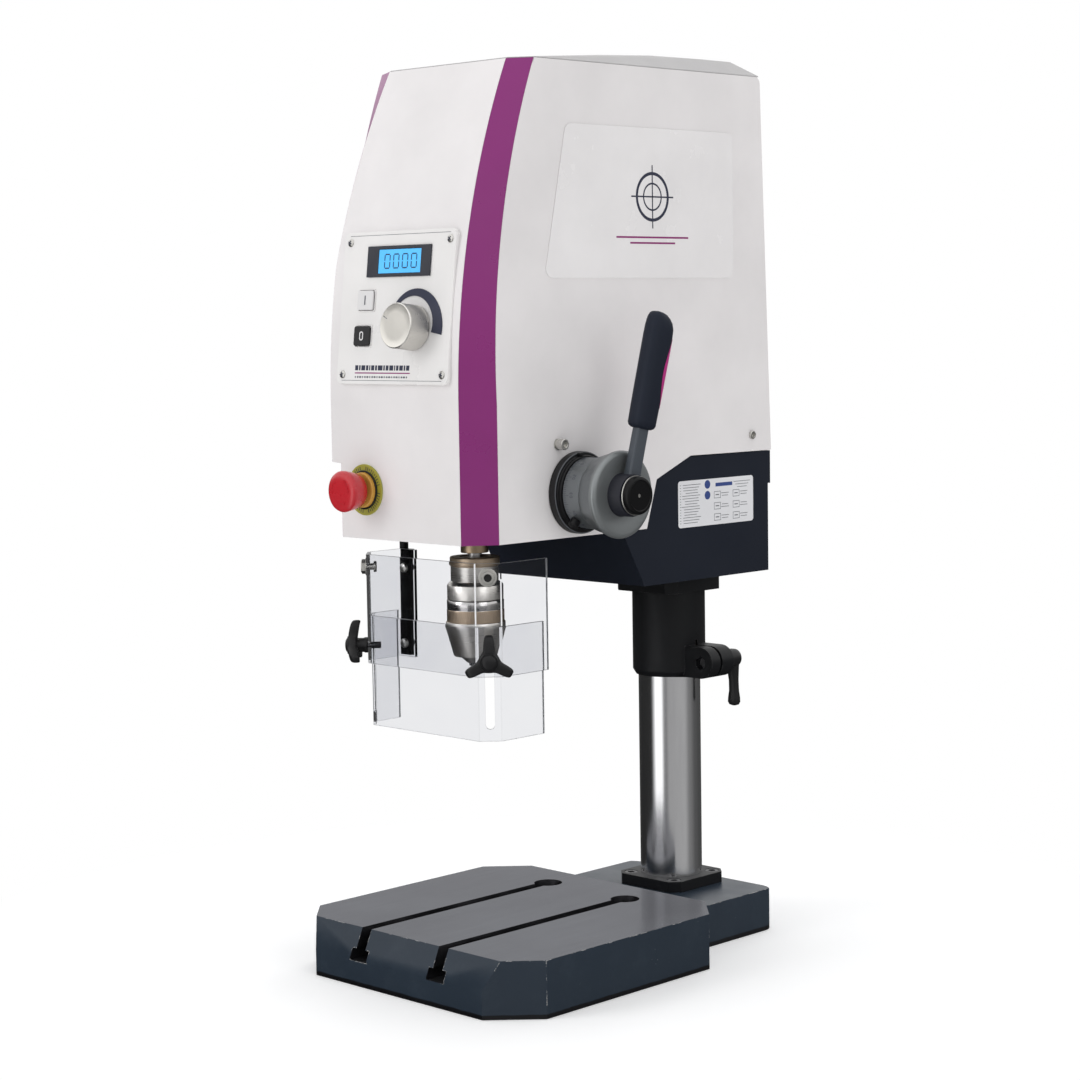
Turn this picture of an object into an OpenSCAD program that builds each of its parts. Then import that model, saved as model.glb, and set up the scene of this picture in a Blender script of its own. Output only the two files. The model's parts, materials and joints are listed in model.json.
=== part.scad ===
// Bench drill press: cast base with two T-slots, round column, swivelling head with rack-driven
// quill, keyless chuck, clear swing-away guard and electronic speed control.
// Millimetres, +Z up, +Y to the rear. The origin is the centre of the base's underside.

/* [Base] */
// Width of the work table
table_w = 294; // [270:1:320]
// Height of the work table above the bench
table_h = 50.7; // [48:0.1:56]
// Distance between the two T-slots
slot_spacing = 100; // [80:1:110]
// Width of the T-slot's neck
slot_neck_w = 12; // [10:0.5:14]
// Width of the T-slot's foot
slot_foot_w = 22; // [19:0.5:24]
// Radius of the bench bolt holes
bench_hole_r = 5.5; // [4.5:0.5:6.5]

/* [Column] */
// Radius of the column
column_r = 30; // [28:0.5:31]
// Height of the column's top above the bench
column_top = 430; // [428:1:440]

/* [Head] */
// Half width of the head's covers
cover_half = 96; // [95:0.5:98]
// Wall of the covers
cover_wall = 2.5; // [2:0.25:2.5]
// Radius of the curved front, seen from the side
front_arc_r = 704; // [650:1:800]
// Tilt of the control panel from upright, in degrees
panel_tilt = 6.65; // [5.5:0.05:7]

/* [Spindle] */
// Radius of the quill
quill_r = 22; // [21.5:0.1:22.5]
// Travel of the quill
quill_stroke = 65; // [40:1:65]
// Radius of the spindle
spindle_r = 8; // [7:0.5:9]

/* [Feed] */
// Module of the rack and pinion
rack_module = 1.5; // [1.4:0.1:1.5]
// Teeth on the pinion
pinion_teeth = 18; // [18:1:18]
// Lean of the feed lever to the rear, in degrees
lever_lean = 12; // [0:1:25]

/* [Guard] */
// Thickness of the clear panels
guard_wall = 3; // [2:0.5:3]
// Half width of the guard
guard_half = 86; // [84:0.5:87]

/* [Hidden] */
$fn = 64;

run_gap = 0.05;          // radial gap of every running fit
soft_gap = 0.4;          // gap between pieces that pass each other

// Base
table_front = -205;
table_rear = 79;
table_brow_z = 25;       // the front face is upright to here, then leans back
table_brow_y = -193.5;
front_chamfer = 39;
rear_chamfer = 34;
foot_half = 97;
foot_half_top = 91;
foot_h = 38;
foot_rear = 205;
foot_corner_r = 20;
slot_neck_z = table_h - 17.7;
slot_foot_z = table_h - 28.1;
slot_end_y = 38;
slot_end_r = 13.5;
rib_half = 10;
slot_wall = 7;
rim = 12;
pocket_h = 34;
foot_pocket = [40, 95, 27];
foot_pocket_x = 65;
foot_pocket_y = 95;

// Column
column_y = 160;
column_bore_r = column_r - 5;
flange_half = 39;
flange_chamfer = 9;
foot_flange_h = 10.5;
flange_bolt_pos = 28;
bolt_seat_h = 3;                   // flange left under the sunk bolt heads
sleeve_bolt_pos = [28, 27];
sleeve_bolt_r = 3.5;
bush_wall = 2;
bush_r = column_r + run_gap + bush_wall;
sleeve_r = bush_r + run_gap + 3.2;
sleeve_bottom = 245;
sleeve_top = 348;
sleeve_flange_h = 21;
sleeve_chamfer = 5;
ear_x = 52;
ear_z = 260;
ear_r = 15;
ear_front = 146;
ear_rear = 178;
clamp_r = 5;

// Head
casting_floor = 10;                // thickness over the sleeve's flange
head_floor_z = 401;
cover_bottom = 400;
cover_top = 811;
front_y0 = -189;
arc_start_z = 520;
cover_rear_low = [201, 462.5];
cover_rear_high = [188, cover_top];
front_half = cover_half - 20;     // the bevelled corners start here
left_half = cover_half - 8;       // on the left they start further out above the step,
left_half_top = 71;               // and draw in again towards the top
left_step_z = 466;
left_full_z = 640;
casting_half = cover_half - 2;
inner_half = cover_half - cover_wall - 1.5;
side_cut = [[24, 400], [38, 444], [85, 463]];
lid_half = 80;
housing_r = 34;
housing_top = 540;
deck_z = 600;
deck_t = 8;
gland_pos = [60, 198, 410];
cover_screw_pos = [[-90, 482], [172, 478]];
screw_spacer_h = 3.6;
tunnel_r = 21;
floor_front = front_y0 + cover_wall + 1;

// Feed axis
quill_y = -100;
pitch_r = rack_module * pinion_teeth / 2;
rack_pitch_depth = 19.5;           // from the quill's axis to the rack's pitch line
feed_y = quill_y + rack_pitch_depth + pitch_r;
feed_z = 439;
tooth_pitch = PI * rack_module;
tip_r = pitch_r + rack_module;
root_r = pitch_r - 1.25 * rack_module;
journal_r = tip_r;
stub_r = 8;
outer_shaft_r = 10;
drum_x0 = cover_half + 12;
drum_x1 = cover_half + 32;
drum_r = 31;
drum_bore_r = 20;
hub_x1 = cover_half + 55;
hub_r = 38;
boss_r = 18.5;
cap_x1 = cover_half + 75;
lever_out = 4;                     // the lever leans outwards by this angle
lever_x = hub_x1 + 6;

// Quill
quill_bottom = 392;
quill_top = 560;
bearing_r = 17;
bearing_h = 12;
rack_z0 = 425;
rack_grooves = 21;
pulley_z = 614;
pulley_h = 26;
spindle_pulley_r = 36;
motor_pulley_r = 24;
motor_y = 35;
motor_r = 50;
motor_bottom = 470;

// Chuck
chuck_core_r = 18.5;
sleeve_z0 = 295;
sleeve_z1 = 341.5;
jaw_r = 2.6;
jaw_angle = 14;
jaw_tip_r = 3.3;
jaw_tip_z = 281.5;
jaw_len = 26;

// Guard
guard_front = -168;
guard_cut = 16.6;
guard_z0 = 285;
guard_z1 = 383;
guard_left_end = -111;
guard_right_end = -95.4;
lower_z0 = 228.7;
lower_z1 = 327.8;
slot_w = 8;
slot_z0 = 239;
knob_z = 300;
nut_z = 371;
rod_x = -guard_half;
rod_y = -106.8;
rod_r = 4;
rod_bottom = 286;
rod_top = 432;
bar_screw_x = -77;
bar_w = 14;
bar_screw_z = [297, 366];

// Controls
panel_x0 = -75;
panel_x1 = 67;
panel_z0 = 536;
panel_z1 = 668;
panel_mid_z = (panel_z0 + panel_z1) / 2;
panel_t = 8;
panel_corner_r = 6;
panel_h = (panel_z1 - panel_z0) / cos(panel_tilt);
start_pos = [-41, 6.5];
stop_pos = [-43, -24.6];
button_size = [20, 17];
speed_pos = [23, -18];
estop_x = -43.7;
estop_z = 443.3;

navy = [0.10, 0.12, 0.16];
black = [0.06, 0.06, 0.07];
shell_white = [0.89, 0.87, 0.87];
purple = [0.52, 0.13, 0.45];
steel = [0.72, 0.72, 0.70];

// ---------- Shared shapes ----------

module along_x(x0, x1, r) {
    translate([x0, 0, 0]) rotate([0, 90, 0]) cylinder(r = r, h = x1 - x0);
}

module along_y(y0, y1, r) {
    translate([0, y0, 0]) rotate([-90, 0, 0]) cylinder(r = r, h = y1 - y0);
}

// A (y, z) outline extruded across x
module extrude_x(points, x0, x1) {
    translate([x0, 0, 0]) rotate([90, 0, 90]) linear_extrude(x1 - x0) polygon(points);
}

// A rounded rectangle, centred, from true circles and squares
module rounded_rect(w, h, r) {
    square([w - 2 * r, h], center = true);
    square([w, h - 2 * r], center = true);
    for (sx = [-1, 1], sy = [-1, 1]) {
        translate([sx * (w / 2 - r), sy * (h / 2 - r)]) circle(r);
    }
}

module chamfered_square(half, cut) {
    polygon([[-half + cut, -half], [half - cut, -half], [half, -half + cut], [half, half - cut],
        [half - cut, half], [-half + cut, half], [-half, half - cut], [-half, -half + cut]]);
}

// Socket head screw, head up, seated at z = 0
module cap_screw(r, shank) {
    difference() {
        cylinder(r = 1.6 * r, h = 1.8 * r);
        translate([0, 0, 0.8 * r]) cylinder(r = 0.95 * r, h = 1.2 * r, $fn = 6);
    }
    translate([0, 0, -shank]) cylinder(r = r, h = shank + 0.1);
}

// ---------- Base and column ----------

module table_plan() {
    w = table_w / 2;
    polygon([[-w + front_chamfer, table_front], [w - front_chamfer, table_front],
        [w, table_front + front_chamfer], [w, table_rear - rear_chamfer],
        [w - rear_chamfer, table_rear], [-w + rear_chamfer, table_rear],
        [-w, table_rear - rear_chamfer], [-w, table_front + front_chamfer]]);
}

module foot_plan() {
    translate([-foot_half, 0]) square([2 * foot_half, foot_rear - foot_corner_r]);
    translate([-foot_half + foot_corner_r, 0]) square([2 * (foot_half - foot_corner_r), foot_rear]);
    for (s = [-1, 1]) {
        translate([s * (foot_half - foot_corner_r), foot_rear - foot_corner_r]) circle(foot_corner_r);
    }
}

// One T-slot with its round end and bench bolt hole, centred on x = 0
module t_slot() {
    front = table_front - 1;
    translate([-slot_neck_w / 2, front, slot_neck_z - 1]) cube([slot_neck_w, slot_end_y - front, 40]);
    translate([-slot_foot_w / 2, front, slot_foot_z])
        cube([slot_foot_w, slot_end_y - front, slot_neck_z - slot_foot_z]);
    translate([0, slot_end_y, slot_foot_z]) cylinder(r = slot_end_r, h = 40);
    translate([0, slot_end_y, -1]) cylinder(r = bench_hole_r, h = 40);
}

module base_casting() {
    brow = [[table_front - 1, -1], [table_front, -1], [table_front, table_brow_z],
        [table_brow_y, table_h], [table_rear + 1, table_h], [table_rear + 1, -1]];
    boss = slot_spacing / 2 - slot_foot_w / 2 - slot_wall;
    outer = slot_spacing / 2 + slot_foot_w / 2 + slot_wall;
    color([0.18, 0.22, 0.26]) difference() {
        union() {
            intersection() {
                linear_extrude(table_h) table_plan();
                extrude_x(brow, -table_w, table_w);
            }
            intersection() {
                linear_extrude(foot_h) foot_plan();
                rotate([90, 0, 0]) translate([0, 0, -foot_rear - 1]) linear_extrude(foot_rear + 10)
                    polygon([[-foot_half, 0], [foot_half, 0], [foot_half_top, foot_h],
                        [-foot_half_top, foot_h]]);
            }
        }
        for (s = [-1, 1]) translate([s * slot_spacing / 2, 0, 0]) t_slot();
        // Cored pockets in the underside leave a rim, a middle rib and a boss under each slot
        for (s = [-1, 1]) {
            translate([s > 0 ? rib_half : -boss, table_front + 20, -1])
                cube([boss - rib_half, 200, pocket_h + 1]);
            translate([s > 0 ? outer : -table_w / 2 + rim, table_front + 55, -1])
                cube([table_w / 2 - rim - outer, 190, pocket_h + 1]);
            translate([s * foot_pocket_x - foot_pocket[0] / 2, foot_pocket_y, -1]) cube(foot_pocket);
        }
        for (sx = [-1, 1], sy = [-1, 1]) {
            translate([sx * flange_bolt_pos, column_y + sy * flange_bolt_pos, foot_h - 20])
                cylinder(r = 4, h = 30);
        }
    }
}

module column_tube() {
    color(steel) translate([0, column_y, foot_h]) difference() {
        cylinder(r = column_r, h = column_top - foot_h);
        translate([0, 0, -1]) cylinder(r = column_bore_r, h = column_top);
    }
}

module foot_flange() {
    color(black) translate([0, column_y, foot_h]) difference() {
        linear_extrude(foot_flange_h) chamfered_square(flange_half, flange_chamfer);
        translate([0, 0, -1]) cylinder(r = column_r, h = foot_flange_h + 2);
        for (sx = [-1, 1], sy = [-1, 1]) {
            translate([sx * flange_bolt_pos, sy * flange_bolt_pos, -1]) cylinder(r = 4, h = 20);
            translate([sx * flange_bolt_pos, sy * flange_bolt_pos, bolt_seat_h])
                cylinder(r = 6.4 + soft_gap, h = 20);
        }
    }
}

module foot_bolts() {
    color([0.3, 0.3, 0.3]) for (sx = [-1, 1], sy = [-1, 1]) {
        translate([sx * flange_bolt_pos, column_y + sy * flange_bolt_pos, foot_h + bolt_seat_h])
            cap_screw(4, 18.5);
    }
}

module guide_bush() {
    color([0.75, 0.6, 0.3]) translate([0, column_y, sleeve_bottom + 2]) difference() {
        cylinder(r = bush_r, h = sleeve_top - sleeve_bottom - 4);
        translate([0, 0, -1]) cylinder(r = column_r + run_gap, h = sleeve_top);
    }
}

module column_sleeve() {
    slit = 3;
    slit_top = ear_z + 20;
    color(black) difference() {
        union() {
            translate([0, column_y, sleeve_bottom + sleeve_chamfer])
                cylinder(r = sleeve_r, h = sleeve_top - sleeve_bottom - sleeve_chamfer);
            translate([0, column_y, sleeve_bottom])
                cylinder(r1 = sleeve_r - 3, r2 = sleeve_r, h = sleeve_chamfer);
            translate([0, column_y, sleeve_top - sleeve_flange_h]) linear_extrude(sleeve_flange_h)
                chamfered_square(flange_half, flange_chamfer);
            translate([ear_x, 0, ear_z]) along_y(ear_front, ear_rear, ear_r);
            translate([0, ear_front, ear_z - ear_r]) cube([ear_x, ear_rear - ear_front, 2 * ear_r]);
        }
        translate([0, column_y, sleeve_bottom - 1]) cylinder(r = bush_r + run_gap, h = 200);
        translate([20, column_y - slit / 2, sleeve_bottom - 1])
            cube([60, slit, slit_top - sleeve_bottom + 1]);
        translate([ear_x, 0, ear_z]) along_y(ear_front - 1, ear_rear + 1, clamp_r + run_gap);
        translate([ear_x, 0, ear_z]) rotate([0, 30, 0]) along_y_hex(ear_front - 1, ear_front + 4, 6.5);
        at_sleeve_bolts(sleeve_top - 13) cylinder(r = sleeve_bolt_r, h = 20);
    }
}

module along_y_hex(y0, y1, r) {
    translate([0, y0, 0]) rotate([-90, 0, 0]) cylinder(r = r, h = y1 - y0, $fn = 6);
}

module at_sleeve_bolts(z) {
    for (sx = [-1, 1], sy = [-1, 1]) {
        translate([sx * sleeve_bolt_pos[0], column_y + sy * sleeve_bolt_pos[1], z]) children();
    }
}

module sleeve_bolts() {
    color([0.3, 0.3, 0.3]) at_sleeve_bolts(sleeve_top + casting_floor) cap_screw(sleeve_bolt_r, 22);
}

module clamp_screw() {
    color([0.35, 0.35, 0.36]) translate([ear_x, 0, ear_z]) {
        along_y(ear_front + 5, ear_rear + 1, clamp_r);
        along_y(ear_rear + soft_gap, ear_rear + 4, 8);
        along_y(ear_rear + 3, ear_rear + 16, 4);
    }
}

module clamp_lever() {
    y0 = ear_rear + 4 + soft_gap;
    color(black) translate([ear_x, 0, ear_z]) difference() {
        union() {
            along_y(y0, y0 + 17, 9.5);
            hull() {
                translate([0, y0 + 11, 0]) sphere(6, $fn = 32);
                translate([0, y0 + 13, -40]) sphere(5, $fn = 32);
            }
            translate([0, y0 + 13, -40]) sphere(6.5);
        }
        along_y(y0 - 6, y0 + 13, 4 + run_gap);
    }
}

// ---------- Head ----------

module head_casting() {
    low = [[-5, 396], [22, sleeve_top], [198, sleeve_top], [198, 431], [201.5, 431],
        [201.5, 462], [85, 462], [38.5, 443.5], [24.5, 399.5], [-5, 399.5]];
    high = [[-5, 396], [197, 396], [197, 461], [186, 465], [-5, 465]];
    color(navy) difference() {
        union() {
            difference() {
                union() {
                    extrude_x(low, -casting_half, casting_half);
                    extrude_x(high, -inner_half, inner_half);
                }
                translate([-84, 30, sleeve_top + casting_floor]) cube([168, 158, 120]);
            }
            // Floor under the mechanism, with the covers' bevelled corners
            translate([0, 0, head_floor_z]) linear_extrude(5) polygon([[-74, floor_front], [74, floor_front],
                [inner_half, floor_front + 24.5], [inner_half, 0], [-inner_half, 0],
                [-inner_half, floor_front + 24.5]]);
            // Quill housing, its web and the pinion's tunnel
            translate([0, quill_y, head_floor_z + 1])
                cylinder(r = housing_r, h = housing_top - head_floor_z - 1);
            translate([-28, quill_y, head_floor_z + 1]) cube([56, 100, 62]);
            translate([0, feed_y, feed_z]) along_x(-inner_half, inner_half, tunnel_r);
            // Belt deck on two posts, which carries the motor and the upper pulley
            translate([-62, quill_y - 40, deck_z]) cube([124, 232, deck_t]);
            for (s = [-1, 1]) translate([s * 58 - 4, -5, 460]) cube([8, 35, deck_z - 459]);
        }
        translate([0, column_y, sleeve_top - 1]) cylinder(r = column_r + 3, h = 300);
        translate([0, quill_y, head_floor_z - 5]) cylinder(r = quill_r + run_gap, h = 160);
        translate([0, feed_y, feed_z]) along_x(-8, inner_half + 5, journal_r + run_gap);
        translate([0, feed_y, feed_z]) along_x(-inner_half - 5, 0, stub_r + run_gap);
        translate([0, quill_y, deck_z - 1]) cylinder(r = 14 + run_gap, h = 20);
        translate([0, motor_y, deck_z - 1]) cylinder(r = 12, h = 20);
        translate([rod_x, rod_y, head_floor_z - 5]) cylinder(r = rod_r + run_gap, h = 20);
        at_sleeve_bolts(sleeve_top - 1) cylinder(r = sleeve_bolt_r, h = 30);
        at_sleeve_bolts(sleeve_top + casting_floor) cylinder(r = 1.6 * sleeve_bolt_r + soft_gap, h = 20);
        translate([gland_pos[0], 0, gland_pos[2]]) along_y(gland_pos[1] - 18, gland_pos[1] + 12, 6.5);
    }
}

function arc_drop(z) = z <= arc_start_z ? 0
    : front_arc_r - sqrt(pow(front_arc_r, 2) - pow(z - arc_start_z, 2));
function bevel_depth(z) = 26 - 12.5 * max(0, z - arc_start_z) / (cover_top - arc_start_z);
function front_line(z, inset) = front_y0 + inset + arc_drop(z);
function side_line(z, inset) = front_line(z, inset) + bevel_depth(z);
front_heights = concat([cover_bottom], [for (i = [0:14]) arc_start_z + i * (cover_top - arc_start_z) / 14]);

function rear_at(z) = cover_rear_low[0] + (cover_rear_high[0] - cover_rear_low[0])
    * (z - cover_bottom) / (cover_top - cover_bottom);

// The head's outer form from low to high, a convex body with bevelled front corners, shrunk by inset.
// Its front face reaches to -left below left_full_z and to -left_top at its upper edge.
module cover_form(inset, low, high, rear, left, left_top) {
    heights = concat([low], [for (z = front_heights) if (z > low && z < high) z], [high]);
    full = concat([for (z = heights) if (z < left_full_z) z], [left_full_z]);
    rear_line = [[rear_at(high) + rear, high], [rear_at(low) + rear, low]];
    hull() {
        extrude_x(concat([for (z = heights) [front_line(z, inset), z]], rear_line),
            -left_top + inset / 3, front_half - inset / 3);
        extrude_x(concat([for (z = full) [front_line(z, inset), z]], [[0, left_full_z], [0, low]]),
            -left + inset / 3, 0);
        extrude_x(concat([for (z = heights) [side_line(z, inset / 3), z]], rear_line),
            -cover_half + inset, cover_half - inset);
    }
}

module cover_shell() {
    overlap = 14;
    difference() {
        union() {
            cover_form(0, left_step_z, cover_top, 0, left_half, left_half_top);
            intersection() {
                cover_form(0, cover_bottom, cover_top, 0, front_half, left_half_top);
                translate([-150, -300, cover_bottom - 1])
                    cube([300, 600, left_step_z + overlap - cover_bottom]);
            }
        }
        cover_form(cover_wall, left_step_z + cover_wall, cover_top + 1, 20, left_half, left_half_top);
        cover_form(cover_wall, cover_bottom - 1, cover_top + 1, 20, front_half, left_half_top);
        translate([-150, side_cut[0][0], cover_bottom - 1]) extrude_cut();
    }
}

// What the lower edge of the sides leaves open for the casting
module extrude_cut() {
    y0 = side_cut[0][0];
    extrude_x([[0, 0], [0, 1], [side_cut[1][0] - y0, side_cut[1][1] - cover_bottom + 1],
        [side_cut[2][0] - y0, side_cut[2][1] - cover_bottom + 1], [200, side_cut[2][1] - cover_bottom + 1],
        [200, 0]], 0, 300);
}

// The strip of the shell that the corner trims fill, on one side (s = -1 or 1)
module corner_zone(s) {
    line = [for (z = concat([cover_bottom - 2], front_heights, [cover_top + 2])) [side_line(z, 0), z]];
    front = [[-260, cover_top + 2], [-260, cover_bottom - 2]];
    x0 = s > 0 ? front_half : -left_half_top - 60;
    extrude_x(concat(line, front), x0, x0 + 60);
}

// Everything in front of and behind the front cover, with its step and slanted edge on the left
module front_zone() {
    low = cover_bottom - 2;
    high = cover_top + 2;
    translate([0, -70, 0]) rotate([90, 0, 0]) linear_extrude(190) polygon([[-front_half, low],
        [front_half, low], [front_half, high], [-left_half_top, high], [-left_half_top, cover_top],
        [-left_half, left_full_z], [-left_half, left_step_z], [-front_half, left_step_z]]);
}

module on_panel() {
    translate([0, front_line(panel_mid_z, 0) - 1.5, panel_mid_z]) rotate([90 - panel_tilt, 0, 0]) children();
}

module panel_plate() {
    translate([(panel_x0 + panel_x1) / 2, 0, -panel_t]) linear_extrude(panel_t)
        rounded_rect(panel_x1 - panel_x0, panel_h, panel_corner_r);
}

module front_cover() {
    color(shell_white) difference() {
        intersection() {
            cover_shell();
            front_zone();
        }
        on_panel() panel_plate();
        translate([estop_x, 0, estop_z]) along_y(-200, -180, 11);
    }
}

module side_cover(s) {
    difference() {
        intersection() {
            cover_shell();
            translate([s > 0 ? 60 : -160, -260, cover_bottom - 2]) cube([100, 520, 500]);
        }
        corner_zone(s);
        front_zone();
        translate([0, feed_y, feed_z]) along_x(s > 0 ? 80 : -110, s > 0 ? 110 : -80, tunnel_r + 1);
        for (p = cover_screw_pos) {
            translate([0, p[0], p[1]]) along_x(s > 0 ? 80 : -110, s > 0 ? 110 : -80, 3);
        }
    }
}

module right_cover() {
    color(shell_white) side_cover(1);
}

module left_cover() {
    color(shell_white) side_cover(-1);
}

module corner_trim(s) {
    difference() {
        intersection() {
            cover_shell();
            corner_zone(s);
        }
        front_zone();
    }
}

module left_trim() {
    color(purple) corner_trim(-1);
}

module right_trim() {
    color(purple) corner_trim(1);
}

module rear_cover() {
    inner = cover_half - cover_wall - 0.2;
    color([0.8, 0.8, 0.8]) difference() {
        extrude_x([[201, 463], [188, 810.5], [185.5, 810.5], [198.5, 463]], -inner, inner);
        for (row = [0:8], side = [-1, 1]) {
            translate([side * 42 - 28, 170, 640 + 14 * row]) cube([56, 40, 4]);
        }
    }
}

module top_lid() {
    crown = [[-113, 811.2], [-64, 816], [-13, 820.5], [53, 824], [121, 825], [164, 825], [183, 813.5],
        [183, 811.2]];
    base_half = cover_half - 1;
    color([0.7, 0.69, 0.69]) difference() {
        hull() {
            translate([-left_half_top, -124, cover_top + 0.1]) cube([left_half_top + front_half, 311, 1]);
            translate([-base_half, -110, cover_top + 0.1]) cube([2 * base_half, 297, 1]);
            extrude_x(crown, -lid_half, lid_half);
        }
        translate([-70, -60, cover_top - 1]) cube([140, 230, 6]);
    }
}

module badge_plate() {
    corners = [[138.5, 633], [138.5, 749.7], [-69, 749.7], [-94, 633]];
    color([0.87, 0.86, 0.86]) hull() for (p = corners) {
        translate([0, p[0], p[1]]) along_x(cover_half, cover_half + 0.8, 8, $fn = 32);
    }
}

// Screws of the side covers and of the control panel
module cover_screws() {
    color(steel) {
        for (s = [-1, 1]) {
            translate([s * cover_half, cover_screw_pos[0][0], cover_screw_pos[0][1]]) rotate([0, s * 90, 0]) {
                translate([0, 0, screw_spacer_h]) cap_screw(3, 8 + screw_spacer_h);
                cylinder(r = 4.3, h = screw_spacer_h + 0.1);
            }
            translate([s * cover_half, cover_screw_pos[1][0], cover_screw_pos[1][1]]) rotate([0, s * 90, 0])
                cap_screw(2.5, 8);
        }
        on_panel() for (x = [panel_x0 + 8, panel_x1 - 7], y = [-58, 57.5]) {
            translate([x, y, 0]) cylinder(r = 3.4, h = 1.6);
        }
    }
}

// ---------- Control panel ----------

module control_panel() {
    color([0.85, 0.85, 0.87]) on_panel() difference() {
        panel_plate();
        for (p = [start_pos, stop_pos]) {
            translate([p[0], p[1], 0]) cube([button_size[0] + 1, button_size[1] + 1, 12], center = true);
        }
        translate([speed_pos[0], speed_pos[1], -panel_t - 1]) cylinder(r = 3 + run_gap, h = 20);
        translate([-2.25, 40, -1]) cube([72, 22, 10], center = true);
    }
}

module display_bezel() {
    color([0.15, 0.16, 0.2]) on_panel() translate([-2.25, 40, 0]) difference() {
        translate([0, 0, 0.75]) cube([80.5, 27, 1.5], center = true);
        translate([1.25, 0, 1.5]) cube([54, 21, 1.6], center = true);
    }
}

// Crescent that widens clockwise round the speed knob
module speed_scale() {
    steps = 30;
    outer = 34;
    start = 175;
    sweep = -185;
    widest = 12;
    color([0.12, 0.13, 0.2]) on_panel() translate([speed_pos[0], speed_pos[1], 0]) linear_extrude(0.8)
        polygon(concat(
            [for (i = [0:steps]) outer * [cos(start + sweep * i / steps), sin(start + sweep * i / steps)]],
            [for (i = [steps:-1:0]) (outer - 1 - widest * i / steps)
                * [cos(start + sweep * i / steps), sin(start + sweep * i / steps)]]));
}

module push_button(pos) {
    on_panel() translate([pos[0], pos[1], -1.5]) linear_extrude(4)
        rounded_rect(button_size[0], button_size[1], 2);
}

module start_button() {
    color([0.88, 0.88, 0.88]) push_button(start_pos);
}

module stop_button() {
    color(black) push_button(stop_pos);
}

module speed_knob() {
    color(steel) on_panel() translate([speed_pos[0], speed_pos[1], 0]) {
        rotate_extrude() polygon([[0, 1.2], [19.5, 1.2], [19.5, 22.5], [18, 24], [0, 24]]);
        translate([0, 0, -6]) cylinder(r = 3, h = 8);
    }
}

module estop_collar() {
    color([0.8, 0.75, 0.2]) translate([estop_x, front_y0, estop_z]) difference() {
        union() {
            along_y(-1.6, 0, 22.5);
            along_y(-6.3, -1, 15.5);
            along_y(-1, 24, 10.8);
        }
        along_y(-20, 30, 8 + run_gap);
    }
}

module estop_stem() {
    color([0.2, 0.2, 0.2]) translate([estop_x, front_y0, estop_z]) {
        along_y(-18, 20, 8);
        along_y(-26, -17, 4);
    }
}

module estop_head() {
    color([0.72, 0.12, 0.16]) translate([estop_x, front_y0, estop_z]) difference() {
        rotate([90, 0, 0]) rotate_extrude() polygon([[0, 10.8], [14.6, 10.8], [15.4, 11.6], [17.6, 21],
            [18.3, 26], [17.5, 28.6], [14, 29.8], [8, 30.3], [0, 30.5]]);
        along_y(-27, 0, 4 + run_gap);
        along_y(-18.2, 0, 8.4);
    }
}

// ---------- Drive ----------

module motor() {
    color([0.35, 0.36, 0.38]) translate([0, motor_y, 0]) difference() {
        union() {
            translate([0, 0, motor_bottom]) cylinder(r = motor_r - 4, h = deck_z - motor_bottom);
            translate([0, 0, motor_bottom + 14]) cylinder(r = motor_r, h = 90);
            translate([0, 0, deck_z - 8]) linear_extrude(8) chamfered_square(48, 12);
        }
        translate([0, 0, motor_bottom + 60]) cylinder(r = 6 + run_gap, h = 120);
    }
}

module pulley(r) {
    translate([0, 0, pulley_z]) cylinder(r = r - 2, h = pulley_h);
    for (z = [pulley_z, pulley_z + pulley_h - 3]) translate([0, 0, z]) cylinder(r = r + 2, h = 3);
}

module spindle_pulley() {
    color([0.7, 0.7, 0.72]) translate([0, quill_y, 0]) difference() {
        union() {
            pulley(spindle_pulley_r);
            translate([0, 0, deck_z - 7]) cylinder(r = 14, h = pulley_z - deck_z + 8);
            translate([0, 0, deck_z - 7]) cylinder(r = 18, h = 6);
        }
        translate([0, 0, deck_z - 10]) cylinder(r = spindle_r + run_gap, h = 80);
    }
}

module motor_pulley() {
    color([0.7, 0.7, 0.72]) translate([0, motor_y, 0]) {
        pulley(motor_pulley_r);
        translate([0, 0, motor_bottom + 65]) cylinder(r = 6, h = pulley_z - motor_bottom - 64);
    }
}

module belt_loop(extra) {
    hull() {
        translate([0, quill_y]) circle(spindle_pulley_r - 2 + extra, $fn = 48);
        translate([0, motor_y]) circle(motor_pulley_r - 2 + extra, $fn = 48);
    }
}

module drive_belt() {
    color([0.12, 0.12, 0.12]) translate([0, 0, pulley_z + 4]) linear_extrude(pulley_h - 8) difference() {
        belt_loop(3);
        belt_loop(soft_gap);
    }
}

module control_board() {
    color([0.1, 0.35, 0.2]) translate([-86, 50, 490]) {
        cube([2, 110, 90]);
        translate([1.9, 10, 10]) cube([14, 30, 26]);
        translate([1.9, 55, 12]) cube([18, 40, 20]);
        translate([1.9, 20, 50]) cube([10, 60, 12]);
    }
}

module cable_gland() {
    color(black) translate(gland_pos) {
        along_y(-10, 0.2, 6.3);
        along_y_hex(0, 5, 11);
        difference() {
            along_y(4.9, 14, 8.5);
            along_y(6, 15, 4);
        }
    }
}

module guard_switch() {
    color([0.2, 0.2, 0.22]) translate([rod_x + 18, rod_y, head_floor_z + 5]) {
        translate([-8, -14, 0]) cube([22, 28, 34]);
    }
}

// ---------- Quill, spindle and chuck ----------

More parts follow.
